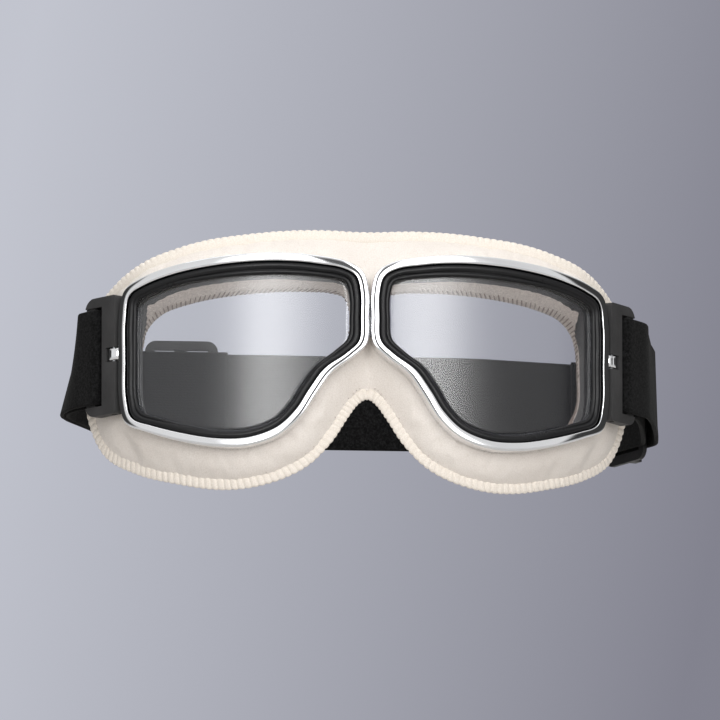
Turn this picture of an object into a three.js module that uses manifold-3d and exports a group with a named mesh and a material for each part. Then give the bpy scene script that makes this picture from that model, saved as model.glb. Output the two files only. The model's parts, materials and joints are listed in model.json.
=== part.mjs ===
// Motorcycle goggles: two chrome rims with curved lenses on a padded leather mask, held by an
// elastic strap that folds round a hinged bracket at each temple.
// Millimetres. +X is the wearer's left, -Y is forward, +Z is up.
// The origin is the middle of the pad's face side at the nose bridge, level with the strap.
import * as THREE from 'three';
import { mergeVertices } from 'three/addons/utils/BufferGeometryUtils.js';
import Module from 'manifold-3d';

const wasm = await Module();
wasm.setup();

// ---------------------------------------------------------------- driving dimensions
const HALF_WIDTH = 98; // half width of the ellipse that the front wraps round
const WRAP_DEPTH = 48; // how far back that ellipse reaches at the temples
const FACE_DEPTH = 22; // from the rims' front at the nose back to the face
const EYE_LIFT = 1; // how far the eye outlines sit above the strap's centre line
const STEPS = 2; // outline points per station
const GAP = 0.35; // clearance between neighbouring solids
const HEM_INSET = 2.8; // from the stitching's outer edge to the edges of the leather panels

const RIM_WIDTH = 3; // visible width of the chrome band
const RIM_BACK = 5; // depth of the rim's side wall
const LENS_THICKNESS = 1.6;
const SEAT_DEPTH = 5.5; // where the mask starts, behind the rims
const NOSE_SEAT_DEPTH = 8.6; // the same at the nose, behind the bridge plate
const NOSE_BACK = 21; // depth of the pad's rear at the centre line

const STRAP_WIDTH = 34;
const STRAP_THICKNESS = 1.5;
const LAYER_OFFSET = 2.3; // from the strap's middle path to the centre of each layer
const STRAP_REAR = 120; // depth of the strap's flat stretch behind the head
const STRAP_BEND = 5; // bend radius of the middle path at its corners
const LEFT_RETURN_END = 84; // X where the returning layer ends, on the left
const RIGHT_RETURN_END = 41.5; // the same distance from the centre line on the right

const HINGE = new THREE.Vector2(89.3, 29); // plan position of the hinge axis, X and depth
const PLATE_ANGLE = THREE.MathUtils.degToRad(54); // from straight across to the bracket's plate
const PLATE_START = -2.5;
const PLATE_END = 14.1;
const PLATE_HALF_HEIGHT = 21.5;
const PLATE_HALF_THICKNESS = 1.9;
const BAR_HALF_THICKNESS = 1.2;
const SLOT = [4.8, 9.3]; // along the plate, from the hinge axis
const SLOT_HALF_HEIGHT = 18;
const WINDOW_HALF_HEIGHT = 2.6;
const LUG_HALF_HEIGHT = 2.1;
const LUG_RADIUS = 1.9;
const PIN_RADIUS = 0.8;
const PIN_HALF_LENGTH = 13;
const LOOP_CENTRE = 9.6; // centre of the strap's fold, along the plate
const LOOP_END = 15; // where the part of the strap that turns with the bracket ends
const STRAP_START = 15.8; // where the rest of the strap starts

const SLIDER_LENGTH = 26.5;
const SLIDER_HALF_HEIGHT = 21.5;
const SLIDER_PLATE = 0.8; // half thickness of the slider's plate
const LEFT_SLIDER_SHARE = 0.47; // where it sits along the left side's slanting stretch
const RIGHT_SLIDER_X = -58;

// Stations round one eye, clockwise seen from behind, starting at the nose.
// rim and lens are [along the wrap, height]; hem and inner are [X, depth, height].
const STATIONS = [
  { rim: [0.35, 10], lens: [7.3, 9], hem: [0, 8, 10], inner: [4.5, 22, 9] },
  { rim: [0.35, 17.5], lens: [7.4, 17], hem: [0, 8, 19], inner: [5, 22.5, 16] },
  { rim: [2.3, 25], lens: [9, 21.8], hem: [0, 9, 30], inner: [7, 23, 20.5] },
  { rim: [8, 28.9], lens: [13, 23], hem: [0, 13, 42], inner: [12, 23.5, 22.3] },
  { rim: [19.7, 31.3], lens: [20, 23.9], hem: [17, 13.5, 42.6], inner: [19, 24, 22.8] },
  { rim: [32.5, 32.3], lens: [32, 24.6], hem: [31, 14.5, 42.2], inner: [30, 25, 22.8] },
  { rim: [45.5, 32.1], lens: [45, 24.4], hem: [44, 16.5, 41.1], inner: [41, 27, 22.2] },
  { rim: [58, 31], lens: [57, 23.6], hem: [56, 19, 39.6], inner: [52, 29.5, 21] },
  { rim: [71, 28.9], lens: [70, 22], hem: [67, 22.5, 37], inner: [62, 33, 19.2] },
  { rim: [83.8, 25.3], lens: [81, 19.4], hem: [78, 28.5, 33.2], inner: [71, 38, 16.5] },
  { rim: [90.5, 21.5], lens: [85.6, 16.9], hem: [87, 38.5, 27.3], inner: [76, 42, 12.2] },
  { rim: [92.9, 12], lens: [86.2, 10], hem: [94, 49.5, 18], inner: [78.5, 45, 6] },
  { rim: [93.1, -4], lens: [86.3, -4], hem: [97.3, 56, -3], inner: [79.8, 47.5, -4] },
  { rim: [92.8, -18], lens: [86, -17.5], hem: [96.6, 56, -19], inner: [79.5, 47.5, -14] },
  { rim: [89.9, -26.7], lens: [84, -22.6], hem: [91, 52, -33.5], inner: [76, 44.5, -21.5] },
  { rim: [81, -30.8], lens: [76, -25.8], hem: [80, 40, -42.3], inner: [69, 38, -26] },
  { rim: [68, -35], lens: [66, -29], hem: [66, 29, -47.6], inner: [60, 32.5, -29] },
  { rim: [55, -37.5], lens: [55, -31.2], hem: [53, 22.5, -50.4], inner: [51, 28, -30.7] },
  { rim: [43.5, -37.5], lens: [43.5, -31.3], hem: [42, 18, -50.4], inner: [42, 25.5, -30.8] },
  { rim: [32.5, -33.9], lens: [34, -28], hem: [29.5, 15, -47.2], inner: [33.5, 24, -28.5] },
  { rim: [24.5, -27], lens: [28, -22.7], hem: [20.5, 13.5, -42.3], inner: [27, 23.5, -24] },
  { rim: [19, -18.7], lens: [24.2, -15.8], hem: [12.5, 13, -34], inner: [22, 23.5, -17] },
  { rim: [13.5, -11.2], lens: [19.5, -8.5], hem: [7.3, 13, -26], inner: [17, 23, -9.5] },
  { rim: [5.6, -5.3], lens: [12.5, -3], hem: [3, 13, -20.2], inner: [10.5, 22.5, -3.5] },
  { rim: [1, -0.5], lens: [8, 1.5], hem: [0, 12, -18.7], inner: [6, 22, 1.5] },
];
const TOP_CENTRE = 3; // station where the hem meets the centre line above the rims
const NOSE_APEX = 24; // station where it meets it again over the nose

// ---------------------------------------------------------------- materials
function finish(color, roughness, metalness = 0) {
  return () => new THREE.MeshStandardMaterial({ color, roughness, metalness });
}
const chrome = finish(0xdfe2e6, 0.08, 1);
const steel = finish(0x9a9da1, 0.35, 1);
const rubber = finish(0x18181a, 0.45);
const clear = finish(0xdfe6ea, 0.05);
const blackPlastic = finish(0x1d1d1f, 0.5);
const charcoal = finish(0x3b3b3e, 0.6);
const leather = finish(0xe6ddd0, 0.55);
const foam = finish(0x4a4744, 0.95);
const lining = finish(0x58565a, 0.9);
const thread = finish(0xe9e0d2, 0.85);
const elastic = finish(0x121214, 0.9);

// ---------------------------------------------------------------- solids
// A closed solid from a grid of points that joins up with itself in both directions.
function gridSolid(rows) {
  const positions = [];
  const indexOf = new Map();
  const place = (point) => {
    const key = point.toArray().map((value) => Math.round(value * 1000)).join();
    if (!indexOf.has(key)) {
      indexOf.set(key, positions.length / 3);
      positions.push(...point.toArray());
    }
    return indexOf.get(key);
  };
  const grid = rows.map((row) => row.map(place));
  const triangles = [];
  const addTriangle = (a, b, c) => {
    if (a !== b && b !== c && c !== a) triangles.push([a, b, c]);
  };
  grid.forEach((row, i) => {
    const next = grid[(i + 1) % grid.length];
    row.forEach((a, j) => {
      const k = (j + 1) % row.length;
      addTriangle(a, next[j], next[k]);
      addTriangle(a, next[k], row[k]);
    });
  });
  const geometry = new THREE.BufferGeometry();
  geometry.setAttribute('position', new THREE.Float32BufferAttribute(positions, 3));
  const outward = signedVolume(positions, triangles) > 0;
  geometry.setIndex(triangles.flatMap(([a, b, c]) => (outward ? [a, b, c] : [a, c, b])));
  return geometry;
}

function signedVolume(positions, triangles) {
  const corner = (index) => new THREE.Vector3().fromArray(positions, index * 3);
  return triangles.reduce((sum, [a, b, c]) => sum + corner(a).dot(corner(b).cross(corner(c))), 0);
}

function toSolid(geometry) {
  const bare = geometry.clone();
  bare.deleteAttribute('normal');
  bare.deleteAttribute('uv');
  const merged = mergeVertices(bare, 1e-4);
  const vertProperties = new Float32Array(merged.attributes.position.array);
  const triVerts = new Uint32Array(merged.index.array);
  return new wasm.Manifold(new wasm.Mesh({ numProp: 3, vertProperties, triVerts }));
}

function toGeometry(solid) {
  const mesh = solid.getMesh();
  const geometry = new THREE.BufferGeometry();
  geometry.setAttribute('position', new THREE.BufferAttribute(mesh.vertProperties, 3));
  geometry.setIndex(new THREE.BufferAttribute(mesh.triVerts, 1));
  return geometry;
}

function join(first, ...others) {
  return toGeometry(others.reduce((sum, other) => sum.add(toSolid(other)), toSolid(first)));
}

function cut(first, ...others) {
  return toGeometry(others.reduce((rest, other) => rest.subtract(toSolid(other)), toSolid(first)));
}

function mirrored(geometry) {
  const copy = geometry.clone();
  copy.scale(-1, 1, 1);
  const count = copy.attributes.position.count;
  const index = copy.index ? Array.from(copy.index.array) : Array.from({ length: count }, (_, i) => i);
  for (let i = 0; i < index.length; i += 3) [index[i], index[i + 1]] = [index[i + 1], index[i]];
  copy.setIndex(index);
  return copy;
}

// ---------------------------------------------------------------- the wrap of the front
const WRAP = new THREE.EllipseCurve(0, WRAP_DEPTH, HALF_WIDTH, WRAP_DEPTH, -Math.PI / 2, 0);
WRAP.arcLengthDivisions = 400;
const WRAP_LENGTH = WRAP.getLength();

// The point at a distance along the wrap, a height, and an offset out from it.
function onWrap(along, height, out) {
  const point = WRAP.getPointAt(along / WRAP_LENGTH);
  const tangent = WRAP.getTangentAt(along / WRAP_LENGTH);
  const x = point.x + out * tangent.y;
  const depth = point.y - out * tangent.x;
  return new THREE.Vector3(x, depth - FACE_DEPTH, height + EYE_LIFT);
}

function atDepth([x, depth, height]) {
  return new THREE.Vector3(x, depth - FACE_DEPTH, height + EYE_LIFT);
}

// ---------------------------------------------------------------- outlines round one eye
function smooth(points) {
  const curve = new THREE.CatmullRomCurve3(points, true, 'centripetal');
  const count = points.length * STEPS;
  return Array.from({ length: count }, (_, i) => curve.getPoint(i / count));
}

const flat = (key) => STATIONS.map((station) => new THREE.Vector3(...station[key], 0));
const rimLine = smooth(flat('rim'));
const lensLine = smooth(flat('lens'));
const COUNT = rimLine.length;

// A ring round the eye. Each section point is [inset from the rim's edge, out from the wrap];
// the inset is measured towards the lens opening.
function eyeRing(section) {
  return gridSolid(rimLine.map((edge, i) => {
    const inward = lensLine[i].clone().sub(edge);
    const span = inward.length();
    return section.map(([inset, out]) => {
      const point = edge.clone().addScaledVector(inward, inset / span);
      return onWrap(point.x, point.y, out);
    });
  }));
}

function rimGeometry() {
  const wall = 1;
  const ring = eyeRing([
    [0, -RIM_BACK],
    [0, 0.6],
    [0.9, 1.6],
    [RIM_WIDTH - 0.9, 1.6],
    [RIM_WIDTH, 0.6],
    [RIM_WIDTH, -0.6],
    [wall, -0.6],
    [wall, -RIM_BACK],
  ]);
  const reach = 3.6;
  const lug = new THREE.BoxGeometry(reach, 2.4, 2 * LUG_HALF_HEIGHT);
  lug.translate(-reach / 2, 0, 0);
  const eye = uprightCylinder(LUG_RADIUS, -LUG_HALF_HEIGHT, LUG_HALF_HEIGHT);
  const bore = uprightCylinder(PIN_RADIUS + GAP, -3, 3);
  const hinged = cut(join(lug, eye), bore);
  hinged.rotateZ(PLATE_ANGLE);
  hinged.translate(HINGE.x, HINGE.y - FACE_DEPTH, 0);
  return join(ring, hinged);
}

function uprightCylinder(radius, bottom, top) {
  const cylinder = new THREE.CylinderGeometry(radius, radius, top - bottom, 12);
  cylinder.rotateX(Math.PI / 2);
  cylinder.translate(0, 0, (top + bottom) / 2);
  return cylinder;
}

// A rubber ring with a rounded bead in front and a groove on its inside that holds the lens.
const GASKET_START = 1.4;
const GROOVE_START = 5.6;
const GROOVE_FRONT = -0.9;
const GROOVE_BACK = GROOVE_FRONT - LENS_THICKNESS - 2 * GAP;
function gasketGeometry() {
  const insets = lensLine.map((edge, i) => edge.distanceTo(rimLine[i]));
  return gridSolid(rimLine.map((edge, i) => {
    const inward = lensLine[i].clone().sub(edge).normalize();
    const opening = insets[i];
    const section = [
      [GASKET_START, -1],
      [RIM_WIDTH + GAP, -1],
      [RIM_WIDTH + GAP + 0.5, 0.5],
      [opening - 1.6, 0.6],
      [opening, GROOVE_FRONT],
      [GROOVE_START, GROOVE_FRONT],
      [GROOVE_START, GROOVE_BACK],
      [opening - 0.6, GROOVE_BACK - 0.5],
      [GASKET_START, GROOVE_BACK - 0.5],
    ];
    return section.map(([inset, out]) => {
      const point = edge.clone().addScaledVector(inward, inset);
      return onWrap(point.x, point.y, out);
    });
  }));
}

// A clear shell bent to the wrap, with its edge in the gasket's groove.
function lensGeometry() {
  const middle = new THREE.Vector3(47, -4, 0);
  const front = GROOVE_FRONT - GAP;
  const rings = [1, 0.5, 0]; // shares of the way from the middle to the edge
  return gridSolid(rimLine.map((edge, i) => {
    const inward = lensLine[i].clone().sub(edge).normalize();
    const rimSide = edge.clone().addScaledVector(inward, GROOVE_START + GAP);
    const at = (share, out) => {
      const point = middle.clone().lerp(rimSide, share);
      return onWrap(point.x, point.y, out);
    };
    return [
      ...rings.map((share) => at(share, front)),
      ...rings.toReversed().map((share) => at(share, front - LENS_THICKNESS)),
    ];
  }));
}

// The flat ring that clamps gasket and lens into the rim from behind.
const RIVET_RADIUS = 0.75;
const RIVETS = [
  [4.2, 5],
  [4.2, 13],
];
function rivetPlace([along, height], geometry) {
  const place = onWrap(along, height, 0);
  geometry.translate(place.x, -FACE_DEPTH, place.z);
  return geometry;
}

function alongDepth(radius, front, back, sides = 10) {
  const cylinder = new THREE.CylinderGeometry(radius, radius, back - front, sides);
  cylinder.translate(0, (front + back) / 2, 0);
  return cylinder;
}

function retainerGeometry() {
  const front = GROOVE_BACK - 0.5 - GAP;
  const back = -RIM_BACK - 0.2;
  const ring = eyeRing([
    [GASKET_START, back],
    [GASKET_START, front],
    [6, front],
    [6, back],
  ]);
  const holes = RIVETS.map((rivet) => rivetPlace(rivet, alongDepth(RIVET_RADIUS + GAP, 2, 8)));
  return cut(ring, ...holes);
}

// ---------------------------------------------------------------- the bridge over the nose
const BRIDGE_FRONT = 5.6;
const BRIDGE_BACK = 6.8;
const BRIDGE_CORNER = 2.3;
function bridgeGeometry() {
  const outline = new THREE.Shape();
  outline.absarc(-RIVETS[0][0], RIVETS[1][1], BRIDGE_CORNER, Math.PI / 2, Math.PI);
  outline.absarc(-RIVETS[0][0], RIVETS[0][1], BRIDGE_CORNER, Math.PI, 1.5 * Math.PI);
  outline.absarc(RIVETS[0][0], RIVETS[0][1], BRIDGE_CORNER, -Math.PI / 2, 0);
  outline.absarc(RIVETS[0][0], RIVETS[1][1], BRIDGE_CORNER, 0, Math.PI / 2);
  const thickness = BRIDGE_BACK - BRIDGE_FRONT;
  const plate = new THREE.ExtrudeGeometry(outline, {
    depth: thickness,
    bevelEnabled: false,
    curveSegments: 4,
  });
  plate.rotateX(Math.PI / 2);
  plate.translate(0, BRIDGE_BACK - FACE_DEPTH, EYE_LIFT);
  const holes = [-1, 1].flatMap((side) => RIVETS.map(([along, height]) => {
    const hole = alongDepth(RIVET_RADIUS + GAP, BRIDGE_FRONT - 1, BRIDGE_BACK + 1);
    hole.translate(side * along, -FACE_DEPTH, height + EYE_LIFT);
    return hole;
  }));
  return cut(plate, ...holes);
}

function rivetGeometry([along, height]) {
  const headRadius = 1.5;
  const head = BRIDGE_BACK + GAP;
  const profile = [
    [0, 4],
    [RIVET_RADIUS, 4],
    [RIVET_RADIUS, head],
    [headRadius, head],
    [headRadius * 0.7, head + 0.6],
    [0, head + 0.7],
  ];
  const rivet = new THREE.LatheGeometry(profile.map(([r, y]) => new THREE.Vector2(r, y)), 10);
  return rivetPlace([along, height], rivet);
}

// ---------------------------------------------------------------- the padded mask
const SEAT_INSET = 1.8; // from the rim's edge to where the leather starts under it
const CUP_INSET = 6.2; // from the rim's edge to the front of the cup's lining
const HEM_ROLL_RADIUS = 1.4;
const INNER_ROLL_RADIUS = 1.2;
const seatLine = smooth(STATIONS.map(({ rim, lens, hem }) => {
  const depth = hem[0] === 0 ? NOSE_SEAT_DEPTH : SEAT_DEPTH;
  return onWrap(...insetBy(rim, lens, SEAT_INSET), -depth);
}));
const cupLine = smooth(STATIONS.map(({ rim, lens, hem }) => {
  const depth = hem[0] === 0 ? NOSE_SEAT_DEPTH : SEAT_DEPTH;
  return onWrap(...insetBy(rim, lens, CUP_INSET), -depth);
}));
const hemLine = smooth(STATIONS.map(hemOf)).map(heldBesideCentre);
const innerLine = smooth(STATIONS.map(({ inner }) => atDepth(inner)));
const backLine = smooth(STATIONS.map((station, i) => {
  return i < TOP_CENTRE ? atDepth([0, NOSE_BACK, station.hem[2]]) : hemOf(station, i);
})).map(heldBesideCentre);

// Where the panels end: in from the stitching's outer edge, towards the rim.
function hemOf({ rim, hem }, i) {
  const edge = atDepth(hem);
  if (i < TOP_CENTRE) return edge;
  const inward = onWrap(...rim, 0).sub(edge);
  if (hem[0] === 0) inward.x = 0;
  return edge.addScaledVector(inward.normalize(), HEM_INSET);
}

function insetBy([fromX, fromY], [toX, toY], distance) {
  const start = new THREE.Vector2(fromX, fromY);
  const direction = new THREE.Vector2(toX, toY).sub(start).normalize();
  return start.addScaledVector(direction, distance).toArray();
}

function heldBesideCentre(point) {
  point.x = Math.max(point.x, 0);
  return point;
}

// The crowned face side, halfway between the hem and the inner roll and pushed back.
const CROWN = 5;
const crownLine = backLine.map((back, i) => {
  const middle = back.clone().lerp(innerLine[i], 0.5);
  const width = back.distanceTo(innerLine[i]);
  middle.y += Math.min(CROWN, width * 0.3);
  return middle;
});

// The swelling of the front panel, between the rim and the hem.
const swellLine = seatLine.map((seat, i) => {
  const middle = seat.clone().lerp(hemLine[i], 0.5);
  middle.y -= Math.min(2.2, seat.distanceTo(hemLine[i]) * 0.15);
  return middle;
});

const middleOf = seatLine.map((seat, i) => {
  const corners = [seat, hemLine[i], backLine[i], innerLine[i], cupLine[i]];
  const sum = corners.reduce((total, corner) => total.add(corner), new THREE.Vector3());
  return sum.divideScalar(corners.length);
});

const drawn = (line, share) => line.map((point, i) => middleOf[i].clone().lerp(point, share));
const between = (lineA, lineB, share) => lineA.map((point, i) => point.clone().lerp(lineB[i], share));
const loftOf = (...lines) => gridSolid(middleOf.map((_, i) => lines.map((line) => line[i])));

const SKIN = 0.94; // inner side of a skin, as a share of the way out from the pad's middle
const CORE = 0.83; // the foam's surface, as the same share

// A strip of skin through three outlines, with its inner side drawn towards the pad's middle.
function skin(first, middle, last) {
  return loftOf(first, middle, last, drawn(last, SKIN), drawn(middle, SKIN), drawn(first, SKIN));
}

// Both halves of a panel in one piece; they overlap by a little at the centre line.
function acrossCentre(half) {
  const overlap = 0.3;
  const left = half.clone();
  const position = left.attributes.position;
  for (let i = 0; i < position.count; i += 1) {
    if (position.getX(i) < overlap) position.setX(i, -overlap);
  }
  return join(left, mirrored(left));
}

function foamGeometry() {
  const clearOfCentre = (line) => line.map((point) => {
    const moved = point.clone();
    moved.x = Math.max(moved.x, GAP);
    return moved;
  });
  return loftOf(
    clearOfCentre(drawn(seatLine, CORE)),
    clearOfCentre(drawn(swellLine, CORE)),
    clearOfCentre(drawn(hemLine, CORE)),
    clearOfCentre(drawn(backLine, CORE)),
    clearOfCentre(drawn(crownLine, CORE)),
    drawn(innerLine, CORE),
    drawn(cupLine, CORE),
  );
}

function frontPanelGeometry() {
  return acrossCentre(skin(seatLine, swellLine, hemLine));
}

function rearPanelGeometry() {
  const start = between(backLine, crownLine, 0.1);
  const end = between(innerLine, crownLine, 0.06);
  return acrossCentre(skin(start, crownLine, end));
}

function cupLiningGeometry() {
  const start = between(innerLine, cupLine, 0.08);
  const middle = between(innerLine, cupLine, 0.5);
  const end = between(innerLine, cupLine, 0.97);
  return skin(start, middle, end);
}

// A thin roll round a line of points, on the side away from the pad's middle.
function rollSections(line, radius, indices, sides = 5) {
  return indices.map((i) => {
    const out = line[i].clone().sub(middleOf[i]).normalize();
    const before = line[(i + COUNT - 1) % COUNT];
    const after = line[(i + 1) % COUNT];
    const forward = after.clone().sub(before).normalize();
    const across = new THREE.Vector3().crossVectors(forward, out).normalize();
    const centre = line[i].clone().addScaledVector(out, radius + GAP);
    return Array.from({ length: sides }, (_, k) => {
      const angle = (k / sides) * 2 * Math.PI;
      return centre.clone()
        .addScaledVector(out, radius * Math.cos(angle))
        .addScaledVector(across, radius * Math.sin(angle));
    });
  });
}

function innerRollGeometry() {
  return gridSolid(rollSections(innerLine, INNER_ROLL_RADIUS, middleOf.map((_, i) => i)));
}

function hemRollGeometry() {
  const first = TOP_CENTRE * STEPS + 1;
  const last = NOSE_APEX * STEPS - 1;
  const indices = Array.from({ length: last - first + 1 }, (_, i) => first + i);
  const leftHalf = rollSections(hemLine, HEM_ROLL_RADIUS, indices);
  const rightHalf = leftHalf.toReversed().map((section) => section.map((point) => {
    return new THREE.Vector3(-point.x, point.y, point.z);
  }));
  return gridSolid([...leftHalf, ...rightHalf]);
}

// ---------------------------------------------------------------- brackets at the temples
// Geometry drawn along the plate (x), out from it (-y) and up (z), placed at the hinge.
function onPlate(geometry) {
  geometry.rotateZ(PLATE_ANGLE);
  geometry.translate(HINGE.x, HINGE.y - FACE_DEPTH, 0);
  return geometry;
}

// An upright slab: its outline is [along the plate, height], its sides at fixed offsets.
function uprightSlab(outline, halfThickness) {
  const slab = new THREE.ExtrudeGeometry(outline, {
    depth: 2 * halfThickness,
    bevelEnabled: false,
    curveSegments: 5,
  });
  slab.rotateX(Math.PI / 2);
  slab.translate(0, halfThickness, 0);
  return slab;
}

function roundedOutline(left, right, halfHeight, leftRadius, rightRadius) {
  const outline = new THREE.Shape();
  outline.absarc(right - rightRadius, halfHeight - rightRadius, rightRadius, 0, Math.PI / 2);
  outline.absarc(left + leftRadius, halfHeight - leftRadius, leftRadius, Math.PI / 2, Math.PI);
  outline.absarc(left + leftRadius, leftRadius - halfHeight, leftRadius, Math.PI, 1.5 * Math.PI);
  outline.absarc(right - rightRadius, rightRadius - halfHeight, rightRadius, -Math.PI / 2, 0);
  return outline;
}

function block(fromX, toX, fromY, toY, fromZ, toZ) {
  const box = new THREE.BoxGeometry(toX - fromX, toY - fromY, toZ - fromZ);
  box.translate((fromX + toX) / 2, (fromY + toY) / 2, (fromZ + toZ) / 2);
  return box;
}

function bracketGeometry() {
  const plate = uprightSlab(
    roundedOutline(PLATE_START, PLATE_END, PLATE_HALF_HEIGHT, 1, 5),
    PLATE_HALF_THICKNESS,
  );
  const slot = block(...SLOT, -5, 5, -SLOT_HALF_HEIGHT, SLOT_HALF_HEIGHT);
  const window = block(-5, 2.6, -5, 5, -WINDOW_HALF_HEIGHT, WINDOW_HALF_HEIGHT);
  const bore = uprightCylinder(PIN_RADIUS + GAP, -30, PIN_HALF_LENGTH + GAP);
  const thinned = [-1, 1].map((side) => {
    const near = side * BAR_HALF_THICKNESS;
    const far = side * 5;
    const depths = [Math.min(near, far), Math.max(near, far)];
    return block(SLOT[1] - 0.1, 20, ...depths, -SLOT_HALF_HEIGHT, SLOT_HALF_HEIGHT);
  });
  return onPlate(cut(plate, slot, window, bore, ...thinned));
}

function pinGeometry() {
  return onPlate(uprightCylinder(PIN_RADIUS, -PIN_HALF_LENGTH, PIN_HALF_LENGTH));
}

// ---------------------------------------------------------------- the strap
const plateDirection = new THREE.Vector2(Math.cos(PLATE_ANGLE), Math.sin(PLATE_ANGLE));
const alongPlate = (distance) => HINGE.clone().addScaledVector(plateDirection, distance);

// The middle path in plan, from each bracket to the flat stretch behind the head. The left side
// bulges further back, round its slider.
const plan = (x, y) => new THREE.Vector2(x, y);
const leftCorners = [plan(101.8, 46.2), plan(110.2, 102), plan(96, 132.5)];
const rightCorners = [plan(102.4, 47.1), plan(102.4, 61), plan(76.6, STRAP_REAR)];
const leftFlat = plan(48, STRAP_REAR);
const rightFlat = plan(0, STRAP_REAR);
const flipped = (points) => points.map((point) => plan(-point.x, point.y));

// A polyline with each inner corner rounded by an arc.
function rounded(points, radius, steps = 4) {
  const path = [points[0].clone()];
  for (let i = 1; i < points.length - 1; i += 1) {
    const back = points[i - 1].clone().sub(points[i]).normalize();
    const ahead = points[i + 1].clone().sub(points[i]).normalize();
    const halfAngle = Math.acos(back.dot(ahead)) / 2;
    const towards = back.clone().add(ahead).normalize();
    const centre = points[i].clone().addScaledVector(towards, radius / Math.sin(halfAngle));
    const start = points[i].clone().addScaledVector(back, radius / Math.tan(halfAngle));
    const turn = Math.PI - 2 * halfAngle;
    const sense = Math.sign(back.cross(ahead)) * -1;
    for (let k = 0; k <= steps; k += 1) {
      path.push(start.clone().rotateAround(centre, (sense * turn * k) / steps));
    }
  }
  path.push(points[points.length - 1].clone());
  return path;
}

// The path moved sideways, to the right of its own direction.
function beside(path, offset) {
  return path.map((point, i) => {
    const before = path[Math.max(i - 1, 0)];
    const after = path[Math.min(i + 1, path.length - 1)];
    const direction = after.clone().sub(before).normalize();
    return point.clone().add(new THREE.Vector2(direction.y, -direction.x).multiplyScalar(offset));
  });
}

// A band of the strap: a path in plan, a sideways offset, and the strap's width and thickness.
function band(path, offset) {
  const half = STRAP_THICKNESS / 2;
  const outline = [...beside(path, offset - half), ...beside(path, offset + half).reverse()];
  return uprightBand(outline);
}

function uprightBand(outline) {
  const geometry = new THREE.ExtrudeGeometry(new THREE.Shape(outline), {
    depth: STRAP_WIDTH,
    bevelEnabled: false,
  });
  geometry.translate(0, -FACE_DEPTH, -STRAP_WIDTH / 2);
  return geometry;
}

function strapMainGeometry() {
  const corners = [
    alongPlate(STRAP_START),
    ...leftCorners,
    leftFlat,
    ...flipped(rightCorners).reverse(),
    ...flipped([alongPlate(STRAP_START)]),
  ];
  return band(rounded(corners, STRAP_BEND), LAYER_OFFSET);
}

// The layer that comes back from the bracket on the head's side, as far as its hemmed end.
function strapReturnGeometry(corners, towards, endX) {
  const last = corners[corners.length - 1];
  const end = last.clone().lerp(towards, (last.x - endX) / (last.x - towards.x));
  const points = [alongPlate(STRAP_START), ...corners, end];
  return band(rounded(points, STRAP_BEND), -LAYER_OFFSET);
}

// The strap's fold round the bracket's outer bar.
function strapLoopGeometry() {
  const fold = (radius, sense) => {
    const steps = 6;
    const arc = Array.from({ length: steps + 1 }, (_, k) => {
      const angle = Math.PI / 2 + (k / steps) * Math.PI;
      return new THREE.Vector2(LOOP_CENTRE + radius * Math.cos(angle), radius * Math.sin(angle));
    });
    const line = [new THREE.Vector2(LOOP_END, radius), ...arc, new THREE.Vector2(LOOP_END, -radius)];
    return sense > 0 ? line : line.reverse();
  };
  const half = STRAP_THICKNESS / 2;
  const outline = [...fold(LAYER_OFFSET + half, 1), ...fold(LAYER_OFFSET - half, -1)];
  outline.forEach((point) => point.rotateAround(new THREE.Vector2(), PLATE_ANGLE).add(HINGE));
  return uprightBand(outline);
}

// ---------------------------------------------------------------- strap sliders
// Drawn along the strap (x) with the outside at -y, then turned and moved onto the path.
function sliderGeometry(centre, angle) {
  const half = SLIDER_LENGTH / 2;
  const plate = uprightSlab(
    roundedOutline(-half, half, SLIDER_HALF_HEIGHT, 4, 4),
    SLIDER_PLATE,
  );
  const opening = block(-half + 3.5, half - 3.5, -3, 3, -SLOT_HALF_HEIGHT, SLOT_HALF_HEIGHT);
  const barOut = LAYER_OFFSET + STRAP_THICKNESS / 2 + 0.5;
  const barHalfLength = 2.2;
  const arch = block(
    -barHalfLength,
    barHalfLength,
    -barOut - 1.6,
    0,
    -SLIDER_HALF_HEIGHT + 0.6,
    SLIDER_HALF_HEIGHT - 0.6,
  );
  const underArch = block(-half, half, -barOut, 3, -SLOT_HALF_HEIGHT, SLOT_HALF_HEIGHT);
  const slider = join(cut(plate, opening), cut(arch, underArch));
  slider.rotateZ(angle);
  slider.translate(centre.x, centre.y - FACE_DEPTH, 0);
  return slider;
}

const leftStretch = leftCorners.slice(1);
const leftSliderCentre = leftStretch[0].clone().lerp(leftStretch[1], LEFT_SLIDER_SHARE);
const leftSliderTurn = leftStretch[1].clone().sub(leftStretch[0]).angle();
const rightSliderCentre = new THREE.Vector2(RIGHT_SLIDER_X, STRAP_REAR);

// ---------------------------------------------------------------- assembly
const group = new THREE.Group();

function add(name, geometry, material) {
  const mesh = new THREE.Mesh(geometry, material());
  mesh.name = name;
  group.add(mesh);
}

function addPair(name, geometry, material) {
  add(`${name}_left`, geometry, material);
  add(`${name}_right`, mirrored(geometry), material);
}

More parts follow.
